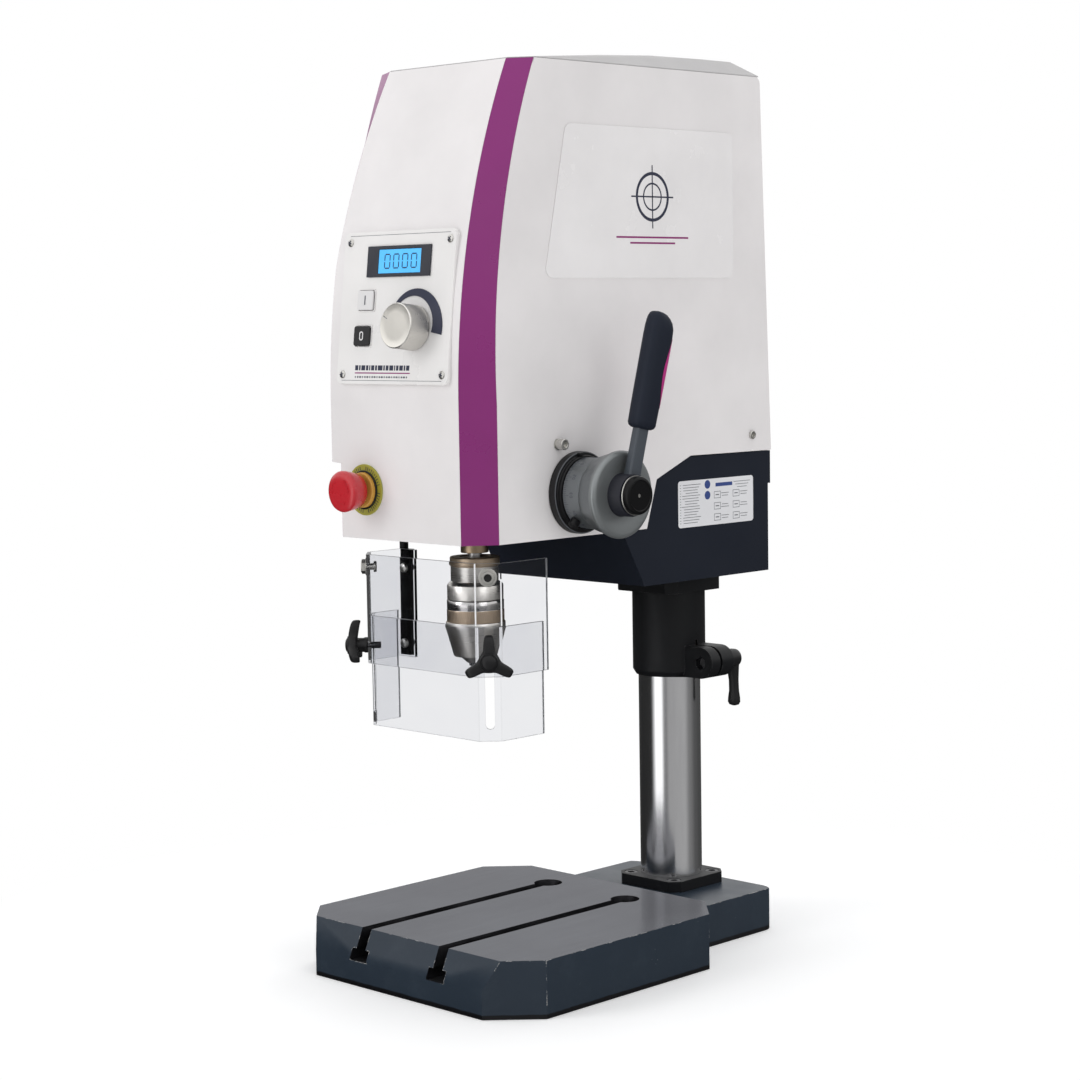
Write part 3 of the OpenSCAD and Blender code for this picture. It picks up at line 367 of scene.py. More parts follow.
def table_ground():
    """Ground cast iron: dark, glossy, with fine straight grinding marks and a few scratches."""
    color = (0.17, 0.176, 0.187)
    g = Graph("Table_ground", color, 0.2, metallic=0.92)
    marks = g.noise(420, 3, (1, 0.03, 1))
    scuffs = g.remap(g.noise(60, 9, (1, 0.10, 1), 0.72), 0.66, 0.74, 0.0, 1.0)
    stains = g.remap(g.noise(6, 7, rough=0.6), 0.4, 0.66, 0.0, 1.0)
    pits = g.remap(g.cells(330), 0.07, 0.02, 0.0, 0.5)
    body = g.mix(stains, shade(color, 0.78), shade(color, 1.08))
    g.paint(g.mix(pits, g.mix(scuffs, body, shade(color, 1.45)), (0.03, 0.03, 0.03)))
    g.roughen(g.sum("ADD", g.remap(marks, 0.3, 0.7, 0.10, 0.17), g.remap(stains, 0, 1, 0.0, 0.08)))
    g.bump(marks, 0.3, 0.00001)
    g.shader.inputs["Specular Tint"].default_value = (0.55, 0.55, 0.57, 1)
    return g.material


def clear_guard():
    """Clear polycarbonate, faintly blue-grey, with light haze and hand marks."""
    g = Graph("Clear_guard", (0.855, 0.86, 0.88), 0.02, IOR=1.25)
    g.shader.inputs["Transmission Weight"].default_value = 1.0
    haze = g.noise(25, 6)
    g.paint(g.mix(g.remap(haze, 0.3, 0.7, 0.0, 1.0), (0.845, 0.85, 0.872), (0.865, 0.87, 0.885)))
    g.roughen(g.remap(haze, 0.4, 0.75, 0.008, 0.03))
    g.bump(g.noise(9, 2), 0.05, 0.0001)
    return g.material


def guard_edge():
    """Cut edge of the clear sheet: frosted and brighter than its faces."""
    g = Graph("Guard_edge", (0.86, 0.88, 0.90), 0.32, IOR=1.5)
    g.shader.inputs["Transmission Weight"].default_value = 0.55
    g.paint(g.mix(g.noise(160, 4), (0.80, 0.83, 0.86), (0.95, 0.96, 0.97)))
    g.bump(g.noise(900, 3), 0.3, 0.00005)
    return g.material


def lcd_blue():
    g = Graph("Lcd_blue", (0.05, 0.28, 0.55), 0.2)
    glow = g.mix(g.noise(40, 3), (0.05, 0.33, 0.68), (0.08, 0.42, 0.80))
    g.paint(glow)
    g.join(glow, g.shader.inputs["Emission Color"])
    g.shader.inputs["Emission Strength"].default_value = 0.55
    return g.material


# Painted and moulded surfaces: colour, roughness, size and depth of the grain, and what else is set
COATED = {
    "cover_white": ((0.79, 0.765, 0.765), 0.34, 700, 0.00004),
    "trim_purple": ((0.215, 0.012, 0.152), 0.3, 700, 0.00003),
    # Top lid: its mid grey is painted shade, standing in for the darker light on its up-facing top
    "lid_grey": ((0.46, 0.45, 0.45), 0.4, 600, 0.00005),
    "navy_cast": ((0.0085, 0.0115, 0.020), 0.42, 520, 0.00012,
                  dict(wear=(0.12, 0.13, 0.15), wear_amount=0.35, Specular_IOR_Level=0.22)),
    "hub_front": ((0.24, 0.255, 0.26), 0.40, 1100, 0.00004, dict(Metallic=0.7)),
    # Near-black used as painted shade in holes: the chuck key hole's centre and the guard nuts' bores
    "dark_hole": ((0.004, 0.004, 0.004), 0.8, 900, 0.00005),
    "black_cast": ((0.0055, 0.006, 0.0072), 0.46, 600, 0.0001,
                   dict(wear=(0.2, 0.2, 0.2), wear_amount=0.4, Specular_IOR_Level=0.22)),
    "black_plastic": ((0.008, 0.008, 0.0088), 0.42, 1500, 0.00005, dict(Specular_IOR_Level=0.28)),
    "cap_black": ((0.003, 0.003, 0.0035), 0.3, 1500, 0.00002, dict(Specular_IOR_Level=0.2)),
    "boss_navy": ((0.012, 0.013, 0.020), 0.4, 900, 0.00005, dict(Specular_IOR_Level=0.3)),
    "panel_silver": ((0.80, 0.785, 0.775), 0.3, 1600, 0.00002),
    "collar_amber": ((0.62, 0.33, 0.06), 0.35, 1200, 0.00003),
    "badge_blue": ((0.03, 0.06, 0.22), 0.4, 1500, 0.00001),
    "badge_foil": ((0.83, 0.81, 0.81), 0.24, 1800, 0.00001),
    "bezel_dark": ((0.016, 0.018, 0.028), 0.16, 900, 0.00001),
    "ink": ((0.02, 0.024, 0.05), 0.4, 1500, 0.00002),
    "ink_purple": ((0.25, 0.016, 0.15), 0.4, 1500, 0.00002),
    "ink_grey": ((0.16, 0.165, 0.18), 0.42, 1500, 0.00002),
    "label_white": ((0.74, 0.74, 0.76), 0.35, 1200, 0.00001),
    "legend_yellow": ((0.36, 0.34, 0.045), 0.38, 900, 0.00003),
    "estop_red": ((0.50, 0.012, 0.022), 0.26, 800, 0.00002, dict(Coat_Weight=0.3)),
    "button_white": ((0.72, 0.71, 0.71), 0.35, 1200, 0.00002),
    "button_black": ((0.012, 0.012, 0.013), 0.3, 1200, 0.00002),
    "insert_magenta": ((0.44, 0.015, 0.19), 0.35, 900, 0.00004),
    "grip_rubber": ((0.0085, 0.012, 0.022), 0.5, 1300, 0.00008, dict(Specular_IOR_Level=0.22)),
    "arm_paint": ((0.056, 0.066, 0.080), 0.36, 700, 0.00008, dict(wear=(0.3, 0.3, 0.3), wear_amount=0.4)),
    "hub_alloy": ((0.20, 0.215, 0.225), 0.38, 1100, 0.00004, dict(Metallic=0.8)),
    "motor_grey": ((0.09, 0.095, 0.105), 0.4, 500, 0.0001),
    "belt_rubber": ((0.012, 0.012, 0.012), 0.6, 900, 0.0001),
    "board_green": ((0.01, 0.09, 0.04), 0.35, 900, 0.00005),
    "lcd_ink": ((0.010, 0.035, 0.10), 0.4, 900, 0.00001),
}
# Bare metals: colour, roughness, stretch of the tool marks, their scale and depth, and what else is set
METALS = {
    "slot_steel": ((0.10, 0.10, 0.11), 0.35, (1, 0.05, 1), 500, 0.00001),
    "nut_gold": ((0.48, 0.36, 0.24), 0.32, (1, 1, 6), 300, 0.00001),
    "chuck_band": ((0.60, 0.58, 0.56), 0.09, (1, 1, 14), 200, 0.000005),
    "ground_steel": ((0.62, 0.61, 0.60), 0.25, (1, 1, 12), 160, 0.00001),
    "chuck_steel": ((0.80, 0.77, 0.72), 0.28, (0.15, 0.15, 14), 150, 0.000003),
    "chuck_warm": ((0.52, 0.41, 0.30), 0.38, (1, 1, 3), 300, 0.00002),
    "jaw_steel": ((0.30, 0.30, 0.31), 0.3, (1, 1, 8), 300, 0.00001),
    "bolt_steel": ((0.10, 0.10, 0.105), 0.38, (1, 1, 1), 700, 0.00002),
    "screw_zinc": ((0.60, 0.59, 0.56), 0.3, (1, 1, 1), 700, 0.00001),
    "bronze": ((0.45, 0.30, 0.12), 0.35, (1, 1, 10), 200, 0.00002),
    "knob_alloy": ((0.74, 0.72, 0.68), 0.3, (1, 1, 1), 900, 0.000008),
    "knob_face": ((0.93, 0.90, 0.84), 0.34, (1, 1, 1), 900, 0.000004, dict(Anisotropic=0.6)),
    "pulley_alloy": ((0.60, 0.60, 0.61), 0.3, (1, 1, 10), 200, 0.00001),
    "spring_steel": ((0.2, 0.22, 0.27), 0.3, (1, 1, 1), 400, 0.00002),
}


def make_materials():
    made = {}
    for kind, table in ((coated, COATED), (metal, METALS)):
        for key, values in table.items():
            extra = values[-1] if isinstance(values[-1], dict) else {}
            plain = [value for value in values if value is not extra]
            made[key] = kind(key.capitalize(), *plain, **extra).material
    made.update(guard_edge=guard_edge(), clear_guard=clear_guard(), lcd_blue=lcd_blue(),
                painted_base=base_paint(), table_ground=table_ground(), polished_steel=column_steel())
    return made


# ---------------------------------------------------------------- mesh helpers


def weighted_normals(bm):
    """Corner normals weighted by face area, so that rounded edges leave the flat faces flat."""
    bm.normal_update()
    area = {face: face.calc_area() for face in bm.faces}
    normals = []
    for face in bm.faces:
        for loop in face.loops:
            seen, queue, total = {face}, [face], Vector()
            while queue:
                here = queue.pop()
                total += here.normal * area[here]
                for edge in loop.vert.link_edges:
                    if edge.smooth and here in edge.link_faces:
                        for other in edge.link_faces:
                            if other not in seen:
                                seen.add(other)
                                queue.append(other)
            normals.append(total.normalized() if total.length > 1e-14 else face.normal)
    return normals


def finish_mesh(name, bm, body, material, slot, replaces=(), sharp=32, bevel=None, segments=2, sort=None,
                flat=False):
    """Makes bm an object on a CAD body, with its sharp edges rounded and the rest smooth."""
    bmesh.ops.recalc_face_normals(bm, faces=bm.faces)
    if bevel:
        limit = math.radians(sharp)
        picked = [e for e in bm.edges if len(e.link_faces) == 2 and e.calc_face_angle(0) > limit]
        bmesh.ops.bevel(bm, geom=picked, offset=bevel, segments=segments, profile=0.6, affect="EDGES",
                        clamp_overlap=True)
    for face in bm.faces:
        face.smooth = True
    for edge in bm.edges:
        edge.smooth = len(edge.link_faces) == 2 and edge.calc_face_angle(0) < math.radians(sharp)
    mesh = bpy.data.meshes.new(name)
    normals = weighted_normals(bm) if bevel or flat else None
    bm.to_mesh(mesh)
    bm.free()
    if normals:
        mesh.normals_split_custom_set(normals)
    piece = bpy.data.objects.new(name, mesh)
    bpy.context.scene.collection.objects.link(piece)
    for each in material if isinstance(material, list) else [material]:
        mesh.materials.append(M[each])
    if sort:
        for polygon in mesh.polygons:
            polygon.material_index = sort(polygon.center / MM, polygon.normal)
    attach(piece, body)
    if replaces:
        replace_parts(piece, *replaces)
    return piece


def softened(node, material=None, bevel=0.5, segments=2, sharp=30, sort=None, flat=False):
    """A copy of a CAD node with truly rounded edges, which stands for it."""
    source = NODES[node]
    bm = bmesh.new()
    bm.from_mesh(source.data)
    bmesh.ops.remove_doubles(bm, verts=bm.verts, dist=2e-6)
    bmesh.ops.dissolve_limit(bm, angle_limit=math.radians(0.4), use_dissolve_boundaries=False, verts=bm.verts,
                             edges=bm.edges, delimit={"NORMAL"})
    slot = SLOTS[node]
    return finish_mesh(node + "_shape", bm, source["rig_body"], material or slot, slot, [node], sharp,
                       bevel * MM if bevel else None, segments, sort, flat)


def aim(origin, axis, across=(0, 0, 1)):
    """A matrix that puts local +Z along axis and local +X near across, at origin."""
    z = Vector(axis).normalized()
    x = Vector(across) - Vector(across).project(z)
    if x.length < 1e-6:
        x = Vector((1, 0, 0)) - Vector((1, 0, 0)).project(z)
    x.normalize()
    y = z.cross(x)
    return Matrix.Translation(origin) @ Matrix((x, y, z)).transposed().to_4x4()


def walls(bm, low, high):
    """Faces between two closed rows of as many points."""
    count = len(low)
    for k in range(count):
        n = (k + 1) % count
        bm.faces.new((low[k], low[n], high[n], high[k]))


def revolve(bm, profile, place, steps=96, wave=None):
    """Turns (radius, height) points in mm about local Z. wave(angle, height) may change the radius."""
    rings = []
    for r, h in ((r * MM, h * MM) for r, h in profile):
        if r < 1e-7:
            rings.append([bm.verts.new(place @ Vector((0, 0, h)))])
            continue
        ring = []
        for k in range(steps):
            a = 2 * math.pi * k / steps
            radius = r + (wave(a, h) if wave else 0.0)
            ring.append(bm.verts.new(place @ Vector((radius * math.cos(a), radius * math.sin(a), h))))
        rings.append(ring)
    for low, high in zip(rings, rings[1:]):
        if len(low) > 1 and len(high) > 1:
            walls(bm, low, high)
            continue
        for k in range(steps):
            n = (k + 1) % steps
            bm.faces.new((low[0], high[n], high[k]) if len(low) == 1 else (low[k], low[n], high[0]))


def prism(bm, outline, place, low, high):
    """A solid from a closed (x, y) outline in the plane of place, from height low to high."""
    bottom = [bm.verts.new(place @ Vector((x, y, low))) for x, y in outline]
    top = [bm.verts.new(place @ Vector((x, y, high))) for x, y in outline]
    bm.faces.new(bottom[::-1])
    bm.faces.new(top)
    walls(bm, bottom, top)


def hoop(bm, place, outer, inner, low, high):
    """A flat ring between two outlines of as many points."""
    rings = [[bm.verts.new(place @ Vector((x, y, z))) for x, y in line]
             for line, z in ((outer, low), (outer, high), (inner, high), (inner, low))]
    for one, other in zip(rings, rings[1:] + rings[:1]):
        walls(bm, one, other)


def in_mm(points):
    return [(x * MM, y * MM) for x, y in points]


def hexagon(r):
    return in_mm((r * math.cos(a), r * math.sin(a)) for a in (math.radians(60 * k) for k in range(6)))


def block(bm, place, centre, size, low=0.0):
    """A plain box on the plane of place, all in mm, used many at a time for marks and figures."""
    (cx, cy), (w, h, t) = centre, size
    corners = ((-0.5, -0.5), (0.5, -0.5), (0.5, 0.5), (-0.5, 0.5))
    outline = [((cx + w * x) * MM, (cy + h * y) * MM) for x, y in corners]
    prism(bm, outline, place, low * MM, (low + t) * MM)


def loft(bm, sections, place=None):
    """Skin over closed sections, each a list of points, with both ends capped."""
    place = place or Matrix.Identity(4)
    rows = [[bm.verts.new(place @ Vector(q)) for q in section] for section in sections]
    for low, high in zip(rows, rows[1:]):
        walls(bm, low, high)
    bm.faces.new(rows[0][::-1])
    bm.faces.new(rows[-1])


def swept(bm, path, radii, steps=32):
    """Round rod along path, with an (across, along X) radius at each point and domed ends."""
    points = [Vector(q) for q in path]
    sections = []
    for k, point in enumerate(points):
        ahead = (points[min(k + 1, len(points) - 1)] - points[max(k - 1, 0)]).normalized()
        side = Vector((1, 0, 0))
        other = ahead.cross(side).normalized()
        a, b = radii[k]
        sections.append([point + side * b * math.cos(t) + other * a * math.sin(t)
                         for t in (2 * math.pi * q / steps for q in range(steps))])
    loft(bm, sections)


def rounded_box(w, h, r, steps=6):
    points = []
    for sx, sy, start in ((1, 1, 0), (-1, 1, 90), (-1, -1, 180), (1, -1, 270)):
        for k in range(steps + 1):
            a = math.radians(start + 90 * k / steps)
            points.append((sx * (w / 2 - r) + r * math.cos(a), sy * (h / 2 - r) + r * math.sin(a)))
    return points


# ---------------------------------------------------------------- head covers

FRONT_Y = -0.189
COVER_HALF = 0.096
FRONT_HALF = 0.076
BOTTOM, TOP = 0.400, 0.811
ARC_R, ARC_Z = 0.704, 0.520
WALL = 0.0025
REAR_LOW, REAR_HIGH = (0.201, 0.4625), (0.188, 0.811)
SEAM = 0.00012


def front_y(z):
    return FRONT_Y + (0 if z <= ARC_Z else ARC_R - math.sqrt(ARC_R ** 2 - (z - ARC_Z) ** 2))


def side_y(z):
    return front_y(z) + 0.026 - 0.0125 * max(0, z - ARC_Z) / (TOP - ARC_Z)


def heights(low=BOTTOM, high=TOP, steps=72):
    return [low + (high - low) * k / steps for k in range(steps + 1)]


def ribbon(bm, left, right, inward):
    """A plate between two rails, thickened by the vector inward."""
    rows = []
    for a, b in zip(left, right):
        a, b, d = Vector(a), Vector(b), Vector(inward)
        rows.append([bm.verts.new(p) for p in (a, b, b + d, a + d)])
    for low, high in zip(rows, rows[1:]):
        walls(bm, low, high)
    bm.faces.new(rows[0][::-1])
    bm.faces.new(rows[-1])


STEP_Z, FULL_Z = 0.466, 0.640


def corner_x(side, z):
    """Where the front face ends: on the left further out above the step, drawn in towards the top."""
    if side > 0 or z < STEP_Z:
        return side * FRONT_HALF
    return -0.088 + 0.017 * max(0.0, z - FULL_Z) / (TOP - FULL_Z)


def make_covers():
    levels = sorted(set(heights() + [STEP_Z - 0.0005, STEP_Z + 0.0005]))
    bm = bmesh.new()
    ribbon(bm, [(corner_x(-1, z) + SEAM, front_y(z), z) for z in levels],
           [(FRONT_HALF - SEAM, front_y(z), z) for z in levels], (0, WALL, 0))
    floor = [(-75, -187.5), (-87.5, -188.6), (-95.6, -163.8), (-93, -163.8)]
    prism(bm, in_mm(floor), Matrix.Identity(4), STEP_Z + 0.0006, STEP_Z + 0.0026)
    finish_mesh("front_cover_shell", bm, "head", "cover_white", "cover_white", ["front_cover"],
                bevel=0.35 * MM)
    for side, name in ((1, "right"), (-1, "left")):
        bm = bmesh.new()
        ribbon(bm, [(corner_x(side, z) + side * SEAM, front_y(z) + SEAM, z) for z in levels],
               [(side * (COVER_HALF - SEAM), side_y(z) - SEAM, z) for z in levels],
               (-side * WALL * 0.75, WALL * 0.66, 0))
        finish_mesh(name + "_trim_strip", bm, "head", "trim_purple", "trim_purple", [name + "_trim"],
                    bevel=0.35 * MM)
        side_shell(side, name)


def side_shell(side, name):
    """Flat side of the cover with a rounded upper rear corner and its stepped lower edge."""
    corner = 0.006
    outline = [(side_y(z) + SEAM, z) for z in heights()]
    outline[-1] = (side_y(TOP) + 0.0015, TOP)
    centre = (REAR_HIGH[0] - corner, TOP - corner)
    outline += [(centre[0] + corner * math.sin(a), centre[1] + corner * math.cos(a))
                for a in (math.radians(15 * k) for k in range(7))]
    outline += [REAR_LOW, (0.085, 0.463), (0.038, 0.444), (0.024, BOTTOM)]
    place = aim((0, 0, 0), (1, 0, 0), (0, 1, 0))
    bm = bmesh.new()
    low, high = sorted((side * (COVER_HALF - WALL), side * COVER_HALF))
    prism(bm, outline, place, low, high)
    finish_mesh(name + "_cover_shell", bm, "head", "cover_white", "cover_white", [name + "_cover"],
                bevel=0.8 * MM, segments=3, sharp=28)


# ---------------------------------------------------------------- control panel

TILT = math.radians(6.65)
PANEL_Z = 0.602
PANEL = aim((0, front_y(PANEL_Z) - 0.0015, PANEL_Z), (0, -math.cos(TILT), math.sin(TILT)), (1, 0, 0))


def zero(bm, place, corner, size, thick):
    """A zero in seven-segment strokes: its six outer bars."""
    w, h = size
    bar = 1.1
    x, y = corner
    for cx, cy, bw, bh in ((w / 2, h, w - bar, bar), (w / 2, 0, w - bar, bar),
                           (0, h * 0.25, bar, h / 2 - bar), (0, h * 0.75, bar, h / 2 - bar),
                           (w, h * 0.25, bar, h / 2 - bar), (w, h * 0.75, bar, h / 2 - bar)):
        block(bm, place, (x + cx, y + cy), (bw, bh, thick))


def make_panel():
    softened("control_panel", bevel=0.8, segments=3)
    softened("display_bezel", bevel=0.3)
    softened("speed_scale", bevel=0.15)
    # Liquid crystal window with four zeros
    bm = bmesh.new()
    block(bm, PANEL, (-1.0, 40), (53.6, 20.6, 0.5), 0.6)
    finish_mesh("display_window", bm, "head", "lcd_blue", "bezel_dark", bevel=0.2 * MM)
    bm = bmesh.new()
    for k in range(4):
        zero(bm, PANEL @ Matrix.Translation((0, 0, 1.1 * MM)), (-20 + 11.3 * k, 34), (6.6, 12), 0.1)
    finish_mesh("display_digits", bm, "head", "lcd_ink", "bezel_dark")
    # Printed lines on the panel's foil: above and below, a row of bars, a row of ticks and an underline
    bm = bmesh.new()
    for cy in (63.2, -63.2):
        block(bm, PANEL, (-4, cy), (128, 0.35, 0.06))
    widths = (4, 2, 5, 3, 1.5, 4, 2.5, 6, 2, 3.5, 5, 1.5, 3, 4.5, 2, 4)
    x = -51.0
    for width in widths:
        block(bm, PANEL, (x + width / 2, -52.2), (width, 4.4, 0.06))
        x += width + 1.1
    for k in range(22):
        block(bm, PANEL, (-50 + 3.15 * k, -60.2), (1.2 + 0.5 * (k % 3), 1.5, 0.06))
    finish_mesh("panel_print", bm, "head", "ink", "panel_silver")
    bm = bmesh.new()
    block(bm, PANEL, (-15.5, -56.7), (71, 1.0, 0.06))
    finish_mesh("panel_print_line", bm, "head", "ink_purple", "panel_silver")


BUTTONS = {"start_button": ("button_white", (-41, 6.5)), "stop_button": ("button_black", (-43, -24.6))}
CAP_DEPTH = 1.9 * MM


def button_cap(name):
    """Button cap without its guide at the back, so that a pressed cap stays clear of the cover behind it."""
    inverse = PANEL.inverted()
    corners = [inverse @ v.co for v in NODES[name].data.vertices]
    low = Vector([min(c[k] for c in corners) for k in range(3)])
    high = Vector([max(c[k] for c in corners) for k in range(3)])
    middle, size = (low + high) / 2, high - low
    bm = bmesh.new()
    prism(bm, rounded_box(size.x, size.y, 2 * MM), PANEL @ Matrix.Translation((middle.x, middle.y, 0)),
          high.z - CAP_DEPTH, high.z)
    look = BUTTONS[name][0]
    finish_mesh(name + "_shape", bm, name, look, look, [name], bevel=0.7 * MM, segments=3)


def make_buttons():
    for name, (look, centre) in BUTTONS.items():
        button_cap(name)
        place = PANEL @ Matrix.Translation((centre[0] * MM, centre[1] * MM, 2.5 * MM))
        bm = bmesh.new()
        if name == "start_button":
            block(bm, place, (0, 0), (1.3, 8, 0.12))
        else:
            outer, inner = rounded_box(5 * MM, 8 * MM, 2.4 * MM), rounded_box(2.8 * MM, 5.8 * MM, 1.3 * MM)
            hoop(bm, place, outer, inner, 0, 0.12 * MM)
        finish_mesh(name + "_mark", bm, name, "ink" if name == "start_button" else "button_white", look)
    # Recessed frames round both buttons
    bm = bmesh.new()
    for look, centre in BUTTONS.values():
        place = PANEL @ Matrix.Translation((centre[0] * MM, centre[1] * MM, 0))
        outer, inner = rounded_box(23 * MM, 20 * MM, 3 * MM), rounded_box(21.2 * MM, 18.2 * MM, 2.2 * MM)
        hoop(bm, place, outer, inner, -0.2 * MM, 0.7 * MM)
    finish_mesh("button_frames", bm, "head", "panel_silver", "panel_silver", bevel=0.15 * MM)


def make_speed_knob():
    """Turned aluminium knob with a finely knurled wall and a spun, flat face."""
    place = PANEL @ Matrix.Translation((23 * MM, -18 * MM, 0))
    ridges = 90

    def knurl(angle, height):
        if not 0.0035 < height < 0.0215:
            return 0.0
        return -0.00022 * (0.5 + 0.5 * math.cos(ridges * angle))

    bm = bmesh.new()
    profile = [(0, 1.2), (18.9, 1.2), (19.5, 1.8), (19.5, 3.4), (19.5, 3.7), (19.5, 21.2), (19.5, 21.6),
               (19.45, 22.6), (18.9, 23.2), (18.7, 23.3), (18.5, 23.24), (12, 23.2), (6, 23.2), (0, 23.2)]
    revolve(bm, profile, place, 360, knurl)
    outward = place.to_3x3() @ Vector((0, 0, 1))
    finish_mesh("speed_knob_turned", bm, "speed_knob", ["knob_alloy", "knob_face"], "knob_alloy",
                ["speed_knob"], sharp=20, sort=lambda c, n: 1 if n.dot(outward) > 0.97 else 0)
    bm = bmesh.new()
    mark = place @ Matrix.Rotation(math.radians(152), 4, "Z")
    block(bm, mark, (15, 0), (5.5, 0.7, 0.12), 23.15)
    finish_mesh("speed_knob_pointer", bm, "speed_knob", "ink_grey", "ink")


def make_estop():
    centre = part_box("estop_collar")
    x, z = (centre[0].x + centre[1].x) / 2, (centre[0].z + centre[1].z) / 2
    place = aim((x, FRONT_Y, z), (0, -1, 0), (1, 0, 0))
    # Legend ring on the cover
    bm = bmesh.new()
    ring = [(14.2, 0), (22.3, 0), (22.5, 0.3), (22.5, 1.3), (22.1, 1.6), (14.2, 1.6), (14.2, 0)]
    revolve(bm, ring, place, 96)
    finish_mesh("estop_legend", bm, "head", "legend_yellow", "legend_yellow", ["estop_collar"])
    bm = bmesh.new()
    for k in range(48):
        if k % 12 < 2:
            continue
        turned = place @ Matrix.Rotation(2 * math.pi * k / 48, 4, "Z")
        block(bm, turned, (19, 0), (3.4 if k % 3 else 2.2, 0.7, 0.08), 1.6)
    finish_mesh("estop_legend_marks", bm, "head", "ink", "legend_yellow")
    bm = bmesh.new()
    collar = [(8.2, 1.0), (17.0, 1.0), (17.2, 2.6), (16.6, 3.0), (15.6, 3.0), (15.4, 5.6), (14.8, 6.2),
              (8.2, 6.2), (8.2, 1.0)]
    revolve(bm, collar, place, 72)
    finish_mesh("estop_bezel", bm, "head", ["black_plastic", "collar_amber"], "legend_yellow",
                sort=lambda c, n: 1 if -c.y > 192.1 else 0)
    # Slightly conical mushroom head with a soft rim
    bm = bmesh.new()
    head = [(0, 18.3), (8.5, 18.3), (8.5, 10.9), (13.8, 10.9), (14.6, 11.1), (15.1, 11.8), (15.9, 14.5),
            (16.6, 17.5), (17.3, 20.5), (17.8, 23.5), (18.1, 25.4), (18.0, 26.8), (17.4, 28.1), (16.0, 29.1),
            (13.6, 29.8), (10, 30.2), (5, 30.4), (0, 30.5)]
    revolve(bm, head, place, 96)
    finish_mesh("estop_mushroom", bm, "estop_head", "estop_red", "estop_red", ["estop_head"], sharp=50)
    # Raised turn arrows, three arcs with heads
    bm = bmesh.new()
    for k in range(3):
        for step in range(8):
            turned = place @ Matrix.Rotation(math.radians(120 * k + 9 * step), 4, "Z")
            width = 1.5 if step < 6 else 3.4 - 1.6 * (step - 6)
            block(bm, turned, (10.5, 0), (width, 1.75, 0.25), 30.1)
    finish_mesh("estop_arrows", bm, "estop_head", "estop_red", "estop_red")


# ---------------------------------------------------------------- screws, badge and label


def socket_screw(bm, place, r, h):
    """Cylinder head with a rounded rim and a hexagon socket."""
    sides = 48
    profile = [(0, 0), (r, 0), (r, h - 0.5), (r - 0.4, h), (0.62 * r, h), (0.56 * r, h - 0.3)]
    revolve(bm, profile, place, sides)
    rim = [(0.56 * r, h - 0.3), (0.52 * r, h - 1.9), (0, h - 2.1)]
    revolve(bm, rim, place, sides, lambda a, height: -0.05 * r * MM * (0.5 + 0.5 * math.cos(6 * a)))


def pan_screw(bm, place, r):
    """Domed head; its cross recess is not cut, a dark cross laid on it in make_screws is painted shade for
    it.
    """
    dome = [(r * math.sin(a), 0.45 * r * math.cos(a)) for a in (math.radians(x) for x in range(90, -1, -10))]
    revolve(bm, [(0, -0.2), (r, -0.2)] + [(max(a, 0.0), b) for a, b in dome], place, 32)


def make_screws():
    bm = bmesh.new()
    for side in (-1, 1):
        for y, z, r, h, lift in ((-0.090, 0.482, 4.8, 5.4, 3.6), (0.172, 0.478, 3.9, 2.4, 0)):
            place = aim((side * (COVER_HALF + lift * MM), y, z), (side, 0, 0))
            socket_screw(bm, place, r, h)
            if lift:
                revolve(bm, ((0, -3.6), (5.2, -3.6), (5.2, -2.9), (4.3, -2.7), (4.3, 0.05), (0, 0.05)),
                        place, 48)
    finish_mesh("cover_socket_screws", bm, "head", "screw_zinc", "polished_steel", ["cover_screws"])
    bm = bmesh.new()
    marks = bmesh.new()
    for x in (-67, 60):
        for y in (-58, 57.5):
            place = PANEL @ Matrix.Translation((x * MM, y * MM, 0)) @ Matrix.Rotation(0.4 + x * y, 4, "Z")
            pan_screw(bm, place, 3.6)
            # Dark ink crosses on the domes: painted shade standing in for the cross recesses
            block(marks, place, (0, 0), (4.2, 0.8, 0.5), 1.25)
            block(marks, place, (0, 0), (0.8, 4.2, 0.5), 1.25)
    finish_mesh("panel_screws", bm, "head", "screw_zinc", "polished_steel", sharp=50)
    finish_mesh("panel_screw_recesses", marks, "head", "ink", "polished_steel")


def make_badge():
    """Plain badge: a centre-drill cross in a ring with two underlines, in place of lettering."""
    softened("badge_plate", "badge_foil", bevel=0.25)
    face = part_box("badge_plate")[1].x
    place = aim((face, 0.035, 0.697), (1, 0, 0), (0, 1, 0))
    bm = bmesh.new()
    steps = 64
    for outer, inner in ((22, 19.2), (12.5, 11)):
        for k in range(steps):
            a, b = (2 * math.pi * q / steps for q in (k, k + 1))
            corners = ((inner, a), (outer, a), (outer, b), (inner, b))
            prism(bm, in_mm((r * math.cos(t), r * math.sin(t)) for r, t in corners), place, -0.02 * MM,
                  0.08 * MM)
    for w, h in ((56, 1.3), (1.3, 56)):
        block(bm, place, (0, 0), (w, h, 0.1))
    bmesh.ops.remove_doubles(bm, verts=bm.verts, dist=1e-6)
    finish_mesh("badge_motif", bm, "head", "ink", "panel_silver")
    bm = bmesh.new()
    for cy, w in ((-36, 96), (-41, 60)):
        block(bm, place, (0, cy), (w, 1.6, 0.08))
    finish_mesh("badge_lines", bm, "head", "ink_purple", "panel_silver")


